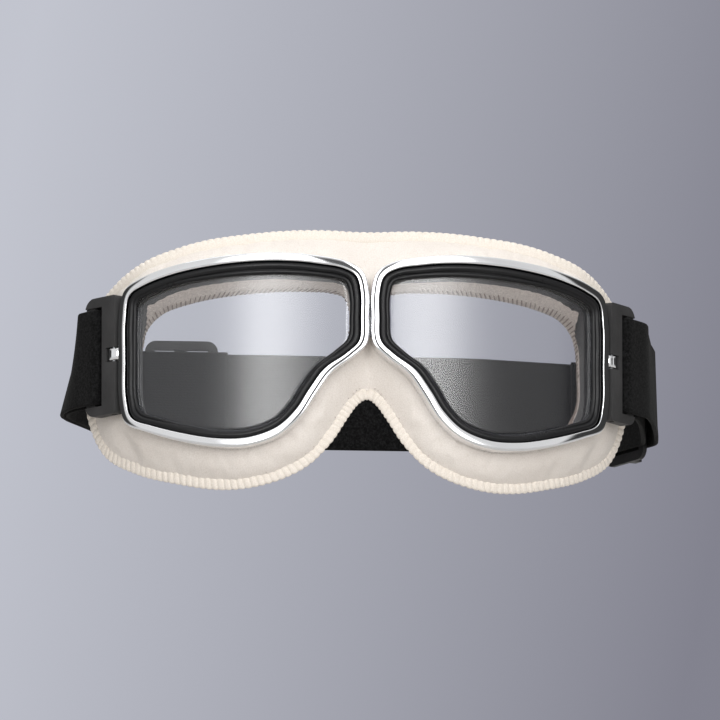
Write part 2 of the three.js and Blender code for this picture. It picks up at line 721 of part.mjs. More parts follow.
addPair('rim', rimGeometry(), chrome);
addPair('gasket', gasketGeometry(), rubber);
addPair('lens', lensGeometry(), clear);
addPair('lens_retainer', retainerGeometry(), blackPlastic);
add('bridge_plate', bridgeGeometry(), steel);
addPair('bridge_rivet_lower', rivetGeometry(RIVETS[0]), steel);
addPair('bridge_rivet_upper', rivetGeometry(RIVETS[1]), steel);
add('mask_front_panel', frontPanelGeometry(), leather);
add('mask_rear_panel', rearPanelGeometry(), leather);
addPair('foam_core', foamGeometry(), foam);
addPair('cup_lining', cupLiningGeometry(), lining);
addPair('inner_stitched_roll', innerRollGeometry(), thread);
add('outer_whipstitch', hemRollGeometry(), thread);
addPair('bracket', bracketGeometry(), charcoal);
addPair('hinge_pin', pinGeometry(), steel);
addPair('strap_loop', strapLoopGeometry(), elastic);
add('strap_main', strapMainGeometry(), elastic);
add('strap_return_left', strapReturnGeometry(leftCorners, leftFlat, LEFT_RETURN_END), elastic);
const rightReturn = mirrored(strapReturnGeometry(rightCorners, rightFlat, RIGHT_RETURN_END));
add('strap_return_right', rightReturn, elastic);
add('slider_left', sliderGeometry(leftSliderCentre, leftSliderTurn), blackPlastic);
add('slider_right', sliderGeometry(rightSliderCentre, Math.PI), blackPlastic);

export default group;
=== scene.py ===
import json
import math
from contextlib import contextmanager

import bmesh
import bpy
import numpy as np
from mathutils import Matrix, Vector, noise


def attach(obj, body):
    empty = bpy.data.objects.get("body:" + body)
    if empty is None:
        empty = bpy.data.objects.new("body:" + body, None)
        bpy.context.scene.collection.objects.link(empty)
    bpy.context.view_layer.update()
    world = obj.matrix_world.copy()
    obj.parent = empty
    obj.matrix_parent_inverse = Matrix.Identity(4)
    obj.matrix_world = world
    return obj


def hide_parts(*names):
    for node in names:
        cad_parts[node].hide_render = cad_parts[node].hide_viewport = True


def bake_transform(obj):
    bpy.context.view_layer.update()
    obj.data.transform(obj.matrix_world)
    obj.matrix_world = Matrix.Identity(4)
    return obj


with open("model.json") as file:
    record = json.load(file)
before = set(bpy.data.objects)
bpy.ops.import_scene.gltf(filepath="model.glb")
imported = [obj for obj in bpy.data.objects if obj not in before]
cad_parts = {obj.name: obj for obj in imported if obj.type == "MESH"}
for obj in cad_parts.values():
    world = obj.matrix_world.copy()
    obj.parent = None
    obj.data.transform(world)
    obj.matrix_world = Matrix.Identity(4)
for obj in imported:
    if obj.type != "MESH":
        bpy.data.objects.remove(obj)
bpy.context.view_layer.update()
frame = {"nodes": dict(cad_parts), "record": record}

# Motorcycle goggles. Shapes are worked out in millimetres and made in metres, in the frame's axes:
# +X is the wearer's left, -Y is forward, +Z is up.
MM = 0.001

# ---- driving dimensions, as in the CAD
HALF_WIDTH = 98.0
WRAP_DEPTH = 48.0
FACE_DEPTH = 22.0
EYE_LIFT = 1.0
STEPS = 8  # outline points per station

RIM_WIDTH = 3.0
RIM_BACK = 5.0
LENS_THICKNESS = 1.6
NOSE_BACK = 21.0
HEM_INSET = 2.8  # from the stitching's outer edge to the edges of the leather panels

STRAP_WIDTH = 34.6  # with its nap
STRAP_THICKNESS = 1.5
LAYER_OFFSET = 2.3  # from the bar's middle to the middle of each layer
STRAP_REAR = 120.0
HINGE = np.array([89.3, 29.0])
PLATE_ANGLE = math.radians(54)
PLATE_DIRECTION = np.array([math.cos(PLATE_ANGLE), math.sin(PLATE_ANGLE)])
PLATE_OUTWARD = np.array([PLATE_DIRECTION[1], -PLATE_DIRECTION[0]])
LOOP_CENTRE = 9.6  # from the hinge to the bracket's outer bar
# The strap's middle path in plan, from each bracket to behind the head: corners with their radii.
LEFT_CORNERS = [(101.8, 46.2, 14), (110.2, 102.0, 8), (96.0, 132.5, 10), (48.0, STRAP_REAR, 60)]
RIGHT_CORNERS = [(100.6, 46.2, 18), (100.6, 61.0, 16), (76.6, STRAP_REAR, 9)]
LEFT_RETURN_END = 84.0
RIGHT_RETURN_END = 41.5
# From the strap's middle path to the centre of each layer, at each depth.
LEFT_SPREAD = [(44, 2.3), (92, 2.3)]
RIGHT_SPREAD = [(44, 2.3), (54, 1.0), (96, 1.0), (112, 2.3)]
# How far the strap's edges lean out below and in above, in mm, at each depth.
LEFT_LEAN = [(42, 0), (60, 1.2), (86, 1.3), (104, 0.3), (120, 0)]
RIGHT_LEAN = [(42, 0.3), (55, 4.3), (70, 4.8), (89, 3.0), (110, 0)]

# Stations round one eye: rim and lens are (along the wrap, height); hem and inner are
# (X, depth, height).
STATIONS = [
    ((0.35, 10), (7.3, 9), (0, 8, 10), (4.5, 22, 9)),
    ((0.35, 17.5), (7.4, 17), (0, 8, 19), (5, 22.5, 16)),
    ((2.3, 25), (9, 21.8), (0, 9, 30), (7, 23, 20.5)),
    ((8, 28.9), (13, 23), (0, 13, 42), (12, 23.5, 22.3)),
    ((19.7, 31.3), (20, 23.9), (17, 13.5, 42.6), (19, 24, 22.8)),
    ((32.5, 32.3), (32, 24.6), (31, 14.5, 42.2), (30, 25, 22.8)),
    ((45.5, 32.1), (45, 24.4), (44, 16.5, 41.1), (41, 27, 22.2)),
    ((58, 31), (57, 23.6), (56, 19, 39.6), (52, 29.5, 21)),
    ((71, 28.9), (70, 22), (67, 22.5, 37), (62, 33, 19.2)),
    ((83.8, 25.3), (81, 19.4), (78, 28.5, 33.2), (71, 38, 16.5)),
    ((90.5, 21.5), (85.6, 16.9), (87, 38.5, 27.3), (76, 42, 12.2)),
    ((92.9, 12), (86.2, 10), (94, 49.5, 18), (78.5, 45, 6)),
    ((93.1, -4), (86.3, -4), (97.3, 56, -3), (79.8, 47.5, -4)),
    ((92.8, -18), (86, -17.5), (96.6, 56, -19), (79.5, 47.5, -14)),
    ((89.9, -26.7), (84, -22.6), (91, 52, -33.5), (76, 44.5, -21.5)),
    ((81, -30.8), (76, -25.8), (80, 40, -42.3), (69, 38, -26)),
    ((68, -35), (66, -29), (66, 29, -47.6), (60, 32.5, -29)),
    ((55, -37.5), (55, -31.2), (53, 22.5, -50.4), (51, 28, -30.7)),
    ((43.5, -37.5), (43.5, -31.3), (42, 18, -50.4), (42, 25.5, -30.8)),
    ((32.5, -33.9), (34, -28), (29.5, 15, -47.2), (33.5, 24, -28.5)),
    ((24.5, -27), (28, -22.7), (20.5, 13.5, -42.3), (27, 23.5, -24)),
    ((19, -18.7), (24.2, -15.8), (12.5, 13, -34), (22, 23.5, -17)),
    ((13.5, -11.2), (19.5, -8.5), (7.3, 13, -26), (17, 23, -9.5)),
    ((5.6, -5.3), (12.5, -3), (3, 13, -20.2), (10.5, 22.5, -3.5)),
    ((1, -0.5), (8, 1.5), (0, 12, -18.7), (6, 22, 1.5)),
]
TOP_CENTRE = 3
NOSE_APEX = 24
FIRST, LAST = TOP_CENTRE * STEPS, NOSE_APEX * STEPS  # the hem's own stretch of each outline
SIDES = (("left", 1), ("right", -1))


# ---- curves
def unit(v):
    return v / np.maximum(np.linalg.norm(v, axis=-1, keepdims=True), 1e-9)


def travel(points):
    """The distance along a path at each of its points."""
    steps = np.linalg.norm(np.diff(points, axis=0), axis=1)
    return np.concatenate([[0], np.cumsum(steps)])


def smooth(points, steps=STEPS):
    """A closed centripetal Catmull-Rom curve through the points, with steps points for each."""
    p = np.array(points, float)
    count = len(p)
    made = []
    for i in range(count):
        p0, p1, p2, p3 = (p[(i + k - 1) % count] for k in range(4))
        spans = (p0, p1), (p1, p2), (p2, p3)
        t01, t12, t23 = (max(np.linalg.norm(b - a), 1e-4) ** 0.5 for a, b in spans)
        m1 = (p1 - p0) / t01 - (p2 - p0) / (t01 + t12) + (p2 - p1) / t12
        m2 = (p2 - p1) / t12 - (p3 - p1) / (t12 + t23) + (p3 - p2) / t23
        m1, m2 = m1 * t12, m2 * t12
        for k in range(steps):
            t = k / steps
            start = p1 * (2 * t**3 - 3 * t**2 + 1) + m1 * (t**3 - 2 * t**2 + t)
            made.append(start + p2 * (3 * t**2 - 2 * t**3) + m2 * (t**3 - t**2))
    return np.array(made)


# The wrap's plan is a quarter of an ellipse to each side: its angles, and the distance to each.
_angle = np.linspace(0, math.pi / 2, 4001)
_across = np.diff(HALF_WIDTH * np.sin(_angle))
_back = np.diff(WRAP_DEPTH * (1 - np.cos(_angle)))
_arc = np.concatenate([[0], np.cumsum(np.hypot(_across, _back))])


def on_wrap(along, height, out):
    """Points at distances along the wrap, heights, and offsets out from it, in mm."""
    along, height, out = np.broadcast_arrays(*(np.asarray(v, float) for v in (along, height, out)))
    side = np.where(along < 0, -1.0, 1.0)
    angle = np.interp(np.abs(along), _arc, _angle)
    tangent_x = HALF_WIDTH * np.cos(angle)
    tangent_y = WRAP_DEPTH * np.sin(angle)
    length = np.hypot(tangent_x, tangent_y)
    x = HALF_WIDTH * np.sin(angle) + out * tangent_y / length
    depth = WRAP_DEPTH * (1 - np.cos(angle)) - out * tangent_x / length
    return np.stack([side * x, depth - FACE_DEPTH, height + EYE_LIFT], axis=-1)


def at_depth(points):
    p = np.array(points, float)
    return np.stack([p[:, 0], p[:, 1] - FACE_DEPTH, p[:, 2] + EYE_LIFT], axis=1)


rim_line = smooth([s[0] for s in STATIONS])
lens_line = smooth([s[1] for s in STATIONS])
COUNT = len(rim_line)
inward = lens_line - rim_line
opening = np.linalg.norm(inward, axis=1)
inward = inward / opening[:, None]


def spline(points, count, beyond=None):
    """An open Catmull-Rom curve through the points [points, ..., 3], heading for beyond."""
    p = np.array(points, float)
    after = 2 * p[-1] - p[-2] if beyond is None else beyond
    ext = np.concatenate([[2 * p[0] - p[1]], p, [after]])
    made = []
    for u in np.linspace(0, len(p) - 1, count):
        i = min(int(u), len(p) - 2)
        t = u - i
        a, b, c, d = ext[i : i + 4]
        squared, cubed = 2 * a - 5 * b + 4 * c - d, 3 * b - a - 3 * c + d
        made.append(0.5 * (2 * b + (c - a) * t + squared * t * t + cubed * t**3))
    return np.array(made)


# ---- meshes
def placed(name, data):
    """A new object, linked into the scene."""
    obj = bpy.data.objects.new(name, data)
    bpy.context.scene.collection.objects.link(obj)
    return obj


def shade_smooth(obj):
    for polygon in obj.data.polygons:
        polygon.use_smooth = True
    return obj


@contextmanager
def edited(mesh):
    """The mesh as a bmesh, which is written back at the end."""
    bm = bmesh.new()
    bm.from_mesh(mesh)
    yield bm
    bm.to_mesh(mesh)
    bm.free()


def new_object(name, verts_mm, faces, smooth_shading=True):
    mesh = bpy.data.meshes.new(name)
    mesh.from_pydata([tuple(v) for v in np.asarray(verts_mm) * MM], [], faces)
    mesh.validate()
    mesh.update()
    obj = placed(name, mesh)
    return shade_smooth(obj) if smooth_shading else obj


def outward_faces(obj):
    with edited(obj.data) as bm:
        bmesh.ops.remove_doubles(bm, verts=bm.verts, dist=1e-6)
        bmesh.ops.recalc_face_normals(bm, faces=bm.faces)
    obj.data.update()
    return obj


def grid_faces(rows, columns, wrap_rows, wrap_columns, start=0):
    faces = []
    for i in range(rows if wrap_rows else rows - 1):
        for j in range(columns if wrap_columns else columns - 1):
            a = start + i * columns + j
            b = start + ((i + 1) % rows) * columns + j
            c = start + ((i + 1) % rows) * columns + (j + 1) % columns
            d = start + i * columns + (j + 1) % columns
            faces.append((a, b, c, d))
    return faces


def grid_object(name, grid, wrap_rows=True, wrap_columns=True):
    rows, columns = grid.shape[:2]
    obj = new_object(name, grid.reshape(-1, 3), grid_faces(rows, columns, wrap_rows, wrap_columns))
    return outward_faces(obj)


def capped_object(name, grid):
    """A tube of the grid's rows, each a closed ring, with its two ends closed."""
    rows, columns = grid.shape[:2]
    faces = grid_faces(rows, columns, False, True)
    faces.append(tuple(range(columns)))
    faces.append(tuple(range((rows - 1) * columns, rows * columns)))
    return outward_faces(new_object(name, grid.reshape(-1, 3), faces))


def mirror_x(grid):
    flipped = grid.copy()
    flipped[..., 0] *= -1
    return flipped


def apply_modifiers(obj):
    dg = bpy.context.evaluated_depsgraph_get()
    mesh = bpy.data.meshes.new_from_object(obj.evaluated_get(dg))
    obj.modifiers.clear()
    old = obj.data
    obj.data = mesh
    bpy.data.meshes.remove(old)
    return obj


def join_objects(name, objects):
    """One object made of several, with their meshes put together."""
    bm = bmesh.new()
    for obj in objects:
        bm.from_mesh(obj.data)
    mesh = bpy.data.meshes.new(name)
    bm.to_mesh(mesh)
    bm.free()
    for obj in objects:
        bpy.data.objects.remove(obj)
    return placed(name, mesh)


def eye_ring(section):
    """A ring round the left eye; each section point is (inset from the rim's edge, out)."""
    columns = []
    for inset, out in section:
        inset = inset if np.ndim(inset) else np.full(COUNT, float(inset))
        point = rim_line + inward * inset[:, None]
        columns.append(on_wrap(point[:, 0], point[:, 1], out))
    return np.stack(columns, axis=1)


def sided(grid, sign):
    return grid if sign > 0 else mirror_x(grid)


# ---- materials
MATERIALS = {}


def material(name, base, roughness=0.5, metallic=0.0, **inputs):
    """A Principled material, kept under its name; uniform values are set on its sockets."""
    mat = MATERIALS[name] = bpy.data.materials.new(name)
    mat.use_nodes = True
    shader = mat.node_tree.nodes["Principled BSDF"]
    shader.inputs["Base Color"].default_value = (*base, 1)
    shader.inputs["Roughness"].default_value = roughness
    shader.inputs["Metallic"].default_value = metallic
    for key, value in inputs.items():
        shader.inputs[key.replace("_", " ")].default_value = value
    return mat


class Nodes:
    """Short calls for wiring the nodes of a material or of the world."""

    def __init__(self, owner, coordinates="Object"):
        self.tree = owner.node_tree
        self.place = self.new("TexCoord").outputs[coordinates]

    def give(self, socket, value):
        """Sets a socket's value, or links another node's output to it."""
        if isinstance(value, bpy.types.NodeSocket):
            self.tree.links.new(value, socket)
        else:
            socket.default_value = value

    def new(self, kind, inputs=None, **settings):
        node = self.tree.nodes.new("ShaderNode" + kind)
        for key, value in settings.items():
            setattr(node, key, value)
        for key, value in (inputs or {}).items():
            self.give(node.inputs[key], value)
        return node

    def noise(self, scale, detail=4, roughness=0.55, vector=None):
        inputs = {"Scale": scale, "Detail": detail, "Roughness": roughness}
        return self.new("TexNoise", {"Vector": vector or self.place, **inputs}).outputs["Fac"]

    def voronoi(self, scale, feature="DISTANCE_TO_EDGE", vector=None):
        inputs = {"Scale": scale, "Vector": vector or self.place}
        return self.new("TexVoronoi", inputs, feature=feature).outputs["Distance"]

    def ramp(self, value, low, high, colour_low, colour_high):
        node = self.new("ValToRGB", {"Fac": value})
        elements = node.color_ramp.elements
        elements[0].position, elements[1].position = low, high
        elements[0].color, elements[1].color = (*colour_low, 1), (*colour_high, 1)
        return node.outputs["Color"]

    def range(self, value, from_low, from_high, to_low=0.0, to_high=1.0):
        limits = {"From Min": from_low, "From Max": from_high, "To Min": to_low, "To Max": to_high}
        return self.new("MapRange", {"Value": value, **limits}).outputs["Result"]

    def maths(self, operation, a, b, clamp=False):
        return self.new("Math", {0: a, 1: b}, operation=operation, use_clamp=clamp).outputs[0]

    def bump(self, height, distance, strength=1.0, after=None):
        inputs = {"Height": height, "Distance": distance, "Strength": strength}
        if after is not None:
            inputs["Normal"] = after
        return self.new("Bump", inputs).outputs["Normal"]

    def mix(self, share, first, second, output):
        """Sends a mix of two shaders to the tree's output."""
        mixed = self.new("MixShader", {"Fac": share, 1: first, 2: second})
        self.give(self.tree.nodes[output].inputs["Surface"], mixed.outputs["Shader"])

    def set(self, **links):
        for key, socket in links.items():
            shader = self.tree.nodes["Principled BSDF"]
            self.give(shader.inputs[key.replace("_", " ")], socket)


def make_metals():
    n = Nodes(material("chrome", (0.93, 0.935, 0.95), 0.06, 1.0))
    n.set(Roughness=n.range(n.noise(60, 5), 0.35, 0.75, 0.035, 0.1))
    n.set(Normal=n.bump(n.noise(900, 3), 0.00001, 0.25))
    n = Nodes(material("steel", (0.55, 0.56, 0.58), 0.3, 1.0))
    brushed = n.new("Mapping", {"Scale": (1, 1, 12), "Vector": n.place})
    grain = n.noise(400, 4, vector=brushed.outputs["Vector"])
    n.set(Roughness=n.range(grain, 0.3, 0.7, 0.22, 0.42))
    n.set(Normal=n.bump(grain, 0.00002, 0.5))


def make_rubber():
    n = Nodes(material("gasket_rubber", (0.01, 0.01, 0.011), 0.3, Specular_IOR_Level=0.27))
    dull, worn = (0.006, 0.006, 0.007), (0.012, 0.012, 0.013)
    n.set(Base_Color=n.ramp(n.noise(40, 4), 0.3, 0.75, dull, worn))
    n.set(Roughness=n.range(n.noise(120, 4), 0.3, 0.7, 0.24, 0.4))
    n.set(Normal=n.bump(n.noise(1500, 3), 0.00003, 0.35))


def make_plastic(name, base, roughness):
    """Moulded plastic with a fine spark-eroded texture and slightly rubbed, paler patches."""
    n = Nodes(material(name, base, roughness, Specular_IOR_Level=0.3))
    paler = tuple(min(1, c * 1.35 + 0.004) for c in base)
    n.set(Base_Color=n.ramp(n.noise(90, 6), 0.35, 0.8, base, paler))
    n.set(Roughness=n.range(n.noise(200, 4), 0.3, 0.7, roughness - 0.08, roughness + 0.08))
    n.set(Normal=n.bump(n.noise(2600, 2), 0.00004, 0.6))


def make_lens_plastic():
    """Clear thin plastic under a slightly soft hard coat, which lets lamps through."""
    n = Nodes(material("lens", (0.98, 0.985, 0.985), 0.0, Transmission_Weight=1.0, IOR=1.02,
                       Coat_Weight=1.0, Coat_IOR=1.5, Coat_Roughness=0.2))
    n.mix(n.new("LightPath").outputs["Is Shadow Ray"],
          n.tree.nodes["Principled BSDF"].outputs["BSDF"],
          n.new("BsdfTransparent").outputs["BSDF"], "Material Output")
    n.set(Roughness=n.range(n.noise(50, 4), 0.4, 0.8, 0.0, 0.01))


def make_leather():
    """Pebbled leather: wobbly cells whose valleys are darkened by painted shade, over broad, faint
    creases.
    """
    n = Nodes(material("leather", (0.82, 0.76, 0.68), 0.5, Specular_IOR_Level=0.4,
                       Sheen_Weight=0.12))
    wobble = n.new("TexNoise", {"Scale": 500, "Vector": n.place}).outputs["Color"]
    small = n.new("VectorMath", {0: wobble, "Scale": 0.0012}, operation="SCALE")
    warp = n.new("VectorMath", {0: n.place, 1: small.outputs["Vector"]}, operation="ADD")
    cells = n.voronoi(1250, vector=warp.outputs["Vector"])
    pebble = n.range(cells, 0.0, 0.22)
    tint = n.ramp(n.noise(45, 6, 0.6), 0.3, 0.75, (0.79, 0.73, 0.675), (0.86, 0.805, 0.75))
    # painted shade: the ramp darkens the cells' edges, the low valleys between the pebbles
    pebble_valley_shade = n.ramp(pebble, 0.0, 0.5, (0.72, 0.68, 0.63), (1, 1, 1))
    darker = n.new("Mix", {"Factor": 0.35, "A": tint, "B": pebble_valley_shade},
                   data_type="RGBA", blend_type="MULTIPLY")
    n.set(Base_Color=darker.outputs["Result"])
    n.set(Roughness=n.range(n.noise(300, 3), 0.3, 0.7, 0.44, 0.58))
    creases = n.bump(n.noise(160, 6, 0.65), 0.0003, 0.35)
    n.set(Normal=n.bump(pebble, 0.00006, 0.5, after=creases))


def make_thread(name, light, dark, scale=2400):
    """Fuzzy fibres, with painted shade darkening the valleys between them."""
    n = Nodes(material(name, light, 0.75, Sheen_Weight=0.3))
    fibres = n.noise(scale, 5, 0.7)
    # painted shade: the fibres' low places, the valleys between them, get the dark colour
    n.set(Base_Color=n.ramp(fibres, 0.3, 0.65, dark, light))
    n.set(Normal=n.bump(fibres, 0.00018, 0.7))


def make_lining_and_foam():
    n = Nodes(material("lining", (0.04, 0.038, 0.04), 0.95, Sheen_Weight=0.15))
    dark, faded = (0.022, 0.021, 0.022), (0.055, 0.052, 0.053)
    n.set(Base_Color=n.ramp(n.noise(140, 6, 0.7), 0.3, 0.75, dark, faded))
    n.set(Normal=n.bump(n.voronoi(1600, "F1"), 0.0002, 0.8))
    n = Nodes(material("foam", (0.1, 0.095, 0.09), 0.95))
    pores = n.voronoi(900, "F1")
    # painted shade: the ramp darkens the pores, the foam's pits
    n.set(Base_Color=n.ramp(pores, 0.1, 0.6, (0.03, 0.03, 0.03), (0.13, 0.12, 0.115)))
    n.set(Normal=n.bump(pores, 0.0004, 0.8))


def make_elastic():
    """Brushed elastic webbing: fine crosswise ribs under a short, uneven nap."""
    n = Nodes(material("elastic", (0.006, 0.006, 0.0065), 0.9, Specular_IOR_Level=0.12,
                       Sheen_Weight=0.03))
    wave = {"Scale": 330, "Distortion": 1.5, "Detail": 2, "Vector": n.place}
    ribs = n.new("TexWave", wave, bands_direction="Z").outputs["Fac"]
    nap = n.noise(1300, 5, 0.7)
    n.set(Base_Color=n.ramp(nap, 0.42, 0.68, (0.001, 0.001, 0.0011), (0.015, 0.015, 0.0155)))
    n.set(Normal=n.bump(nap, 0.0002, 0.6, after=n.bump(ribs, 0.00006, 0.2)))


make_metals()
make_rubber()
make_lens_plastic()
make_plastic("black_plastic", (0.014, 0.014, 0.015), 0.5)
make_plastic("charcoal_plastic", (0.033, 0.0325, 0.033), 0.55)
make_plastic("slider_plastic", (0.012, 0.012, 0.013), 0.45)
make_leather()
make_thread("thread", (0.9, 0.84, 0.765), (0.74, 0.66, 0.57))
make_thread("inner_thread", (0.36, 0.28, 0.24), (0.14, 0.1, 0.085))
make_thread("fleece", (0.78, 0.7, 0.64), (0.4, 0.33, 0.3), 1500)
make_lining_and_foam()
make_elastic()


def dress(obj, slot, *nodes, mat=None, body="mask"):
    """Gives a piece its material, chosen by the slot name unless mat is given, hides the CAD nodes
    it replaces and parents it to its body.
    """
    obj.data.materials.clear()
    obj.data.materials.append(MATERIALS[mat or slot])
    if nodes:
        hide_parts(*nodes)
    if body:
        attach(obj, body)


# ---- rims, gaskets, lenses
def arc_points(centre, radius_x, radius_y, start, end, count):
    (x, y), angles = centre, np.radians(np.linspace(start, end, count))
    return [(x + radius_x * math.cos(a), y + radius_y * math.sin(a)) for a in angles]


def make_rims():
    outer, inner = 0.5, 0.3  # corner radii
    section = [
        (0, -RIM_BACK), (0, -RIM_BACK / 2), (0, 0.8),
        *arc_points((outer, 0.95), outer, outer, 180, 98, 6),
        (1.0, 1.53), (1.5, 1.56), (2.1, 1.53),
        *arc_points((RIM_WIDTH - inner, 1.17), inner, inner, 82, 0, 6),
        (RIM_WIDTH, 0.2), (RIM_WIDTH - 0.1, -0.6), (1.0, -0.6), (1.0, -RIM_BACK),
    ]
    ring = eye_ring(section)
    for side, sign in SIDES:
        rim = grid_object(f"chrome_rim_{side}", sided(ring, sign))
        rim = shade_smooth(join_objects(f"chrome_rim_{side}", [rim, make_lug(sign)]))
        dress(rim, "chrome", f"rim_{side}")


LUG_HALF_HEIGHT = 2.1
LUG_RADIUS = 1.9


def make_lug(sign):
    """The hinge lug: a rounded knuckle round the pin, with a tab that runs into the rim."""
    knuckle = arc_points((0, 0), LUG_RADIUS, LUG_RADIUS, -125, 125, 17)
    shape = [(-3.6, -1.2), (-1.4, -1.3), *knuckle, (-1.4, 1.3), (-3.6, 1.2)]
    levels = [(-1.0, 0.86), (-0.97, 0.95), (-0.88, 1.0), (0.88, 1.0), (0.97, 0.95), (1.0, 0.86)]
    rows = []
    for level, scale in levels:
        row = []
        for along, out in shape:
            p = HINGE + PLATE_DIRECTION * along * scale + PLATE_OUTWARD * out * scale
            row.append((sign * p[0], p[1] - FACE_DEPTH, level * LUG_HALF_HEIGHT))
        rows.append(row)
    grid = np.array(rows)
    return capped_object("lug", grid)


GROOVE_START = 5.6
GROOVE_FRONT = -0.9
GROOVE_BACK = -3.2
LENS_PLAY = 0.35  # between the lens and its groove
LENS_RINGS = 16


def make_gaskets():
    section = [
        (1.4, -1.0), (2.4, -1.0), (3.05, -0.9), (3.3, -0.2),
        *arc_points((4.5, 0.15), 1.15, 0.85, 170, 12, 9),
        (5.85, 0.12),
        *arc_points((opening - 1.0, -0.25), 0.75, 0.5, 165, 20, 6),
        (opening - 0.05, -0.45), (opening, -0.6), (opening, GROOVE_FRONT),
        (GROOVE_START, GROOVE_FRONT), (GROOVE_START, GROOVE_BACK),
        (opening - 0.5, GROOVE_BACK), (opening - 0.5, GROOVE_BACK - 0.5), (1.4, GROOVE_BACK - 0.5),
    ]
    ring = eye_ring(section)
    for side, sign in SIDES:
        gasket = grid_object(f"gasket_bead_{side}", sided(ring, sign))
        dress(gasket, "gasket_rubber", f"gasket_{side}")


def make_lenses():
    """Each lens is two fans of rings round its middle, front and back, joined at the edge."""
    middle = np.array([47.0, -4.0])
    front = GROOVE_FRONT - LENS_PLAY
    back = front - LENS_THICKNESS
    edge = rim_line + inward * (GROOVE_START + LENS_PLAY)
    shares = [1 - k / LENS_RINGS for k in range(LENS_RINGS)]
    columns = []
    for share, out in [(s, front) for s in reversed(shares)] + [(s, back) for s in shares]:
        point = middle + (edge - middle) * share
        columns.append(on_wrap(point[:, 0], point[:, 1], out))
    grid = np.stack(columns, axis=1)
    columns_count = grid.shape[1]
    verts = list(grid.reshape(-1, 3))
    faces = grid_faces(COUNT, columns_count, True, False)
    front_hub, back_hub = len(verts), len(verts) + 1
    verts += [on_wrap(*middle, front), on_wrap(*middle, back)]
    for i in range(COUNT):
        a, b = i * columns_count, ((i + 1) % COUNT) * columns_count
        faces.append((front_hub, b, a))
        faces.append((back_hub, a + columns_count - 1, b + columns_count - 1))
    verts = np.array(verts)
    for side, sign in SIDES:
        lens = outward_faces(new_object(f"clear_lens_{side}", sided(verts, sign), faces))
        dress(lens, "lens", f"lens_{side}")


# ---- the padded mask
SEAT_INSET = 1.3
CUP_INSET = 6.2
SEAT_OUT = -4.7
NOSE_SEAT_OUT = -7.6
# The leather's depth on the centre line, where it dips behind the bridge plate between the rims.
CENTRE_HEIGHTS = [-9, -3, 3, 17, 21, 31]
CENTRE_DEPTHS = [7.8, 5.7, 7.4, 7.4, 5.8, 7.2]


def inset_point(station, inset):
    start, end = np.array(station[0], float), np.array(station[1], float)
    return start + unit(end - start) * inset


def seat_out(station):
    return NOSE_SEAT_OUT if station[2][0] == 0 else SEAT_OUT


def across_centre(points):
    """The smooth closed line, level where it meets its mirror image at the centre line."""
    line = smooth(points)
    top, apex = TOP_CENTRE, NOSE_APEX
    ends = (
        (top, [mirror_x(points[top + 1]), *points[top : top + 3]]),
        (apex - 1, [*points[apex - 2 : apex + 1], mirror_x(points[apex - 1])]),
    )
    for station, controls in ends:
        line[station * STEPS : (station + 1) * STEPS] = smooth(controls)[STEPS : 2 * STEPS]
    return line


def mask_lines():
    """The pad's seat, cup, hem, inner and back lines, and the stitching's outer edge."""
    seats = np.array([on_wrap(*inset_point(s, SEAT_INSET), SEAT_OUT) for s in STATIONS])
    cups = np.array([on_wrap(*inset_point(s, CUP_INSET), seat_out(s)) for s in STATIONS])
    inners = at_depth([s[3] for s in STATIONS])
    seat = smooth(seats)
    cup = smooth(cups)
    hems = at_depth([s[2] for s in STATIONS])
    outline = across_centre(hems)
    out = hems - (seats + cups + inners + 2 * hems) / 5
    out[hems[:, 0] == 0, 0] = 0
    hems[TOP_CENTRE:] -= unit(out[TOP_CENTRE:]) * HEM_INSET
    backs = hems.copy()
    backs[:TOP_CENTRE, 1] = NOSE_BACK - FACE_DEPTH
    hem, back = across_centre(hems), across_centre(backs)
    inner = smooth(inners)
    for line in (hem, back):
        line[:, 0] = np.maximum(line[:, 0], 0)
    beyond = np.r_[np.arange(0, FIRST + 1), np.arange(LAST, COUNT)]
    hem[beyond, 0] = 0
    back[beyond, 0] = 0
    heights = [hem[LAST, 2], *CENTRE_HEIGHTS, hem[FIRST, 2]]
    depths = [hem[LAST, 1] + FACE_DEPTH, *CENTRE_DEPTHS, hem[FIRST, 1] + FACE_DEPTH]
    hem[beyond, 1] = np.interp(hem[beyond, 2], heights, depths) - FACE_DEPTH
    return seat, cup, hem, inner, back, outline


seat_line, cup_line, hem_line, inner_line, back_line, outline = mask_lines()
pad_middle = (seat_line + hem_line + back_line + inner_line + cup_line) / 5

FRONT_COLUMNS = 10
REAR_COLUMNS = 16
WALL_COLUMNS = 8


def pad_grids():
    """Front, rear and cup-wall surfaces of the left eye's pad, as grids of points."""
    swell = (seat_line + hem_line) / 2
    width = np.linalg.norm(seat_line - hem_line, axis=1)[:, None]
    beside_centre = np.clip(swell[:, :1] / 8, 0, 1)
    swell = swell + np.array([0, -1.0, 0]) * np.minimum(1.4, width * 0.1) * beside_centre
    beyond = 2 * hem_line - swell
    shared = hem_line[:, 0] < 1e-6
    beyond[shared] = mirror_x(swell[shared])
    front = np.stack(spline([seat_line, swell, hem_line], FRONT_COLUMNS, beyond), axis=1)
    crown = (back_line + inner_line) / 2
    width = np.linalg.norm(back_line - inner_line, axis=1)[:, None]
    crown = crown + np.array([0, 1.0, 0]) * np.minimum(4.0, width * 0.25)
    rear = np.stack(spline([back_line, crown, inner_line], REAR_COLUMNS), axis=1)
    shares = np.linspace(0, 1, WALL_COLUMNS)
    wall = np.stack([inner_line * (1 - s) + cup_line * s for s in shares], axis=1)
    return front, rear, wall


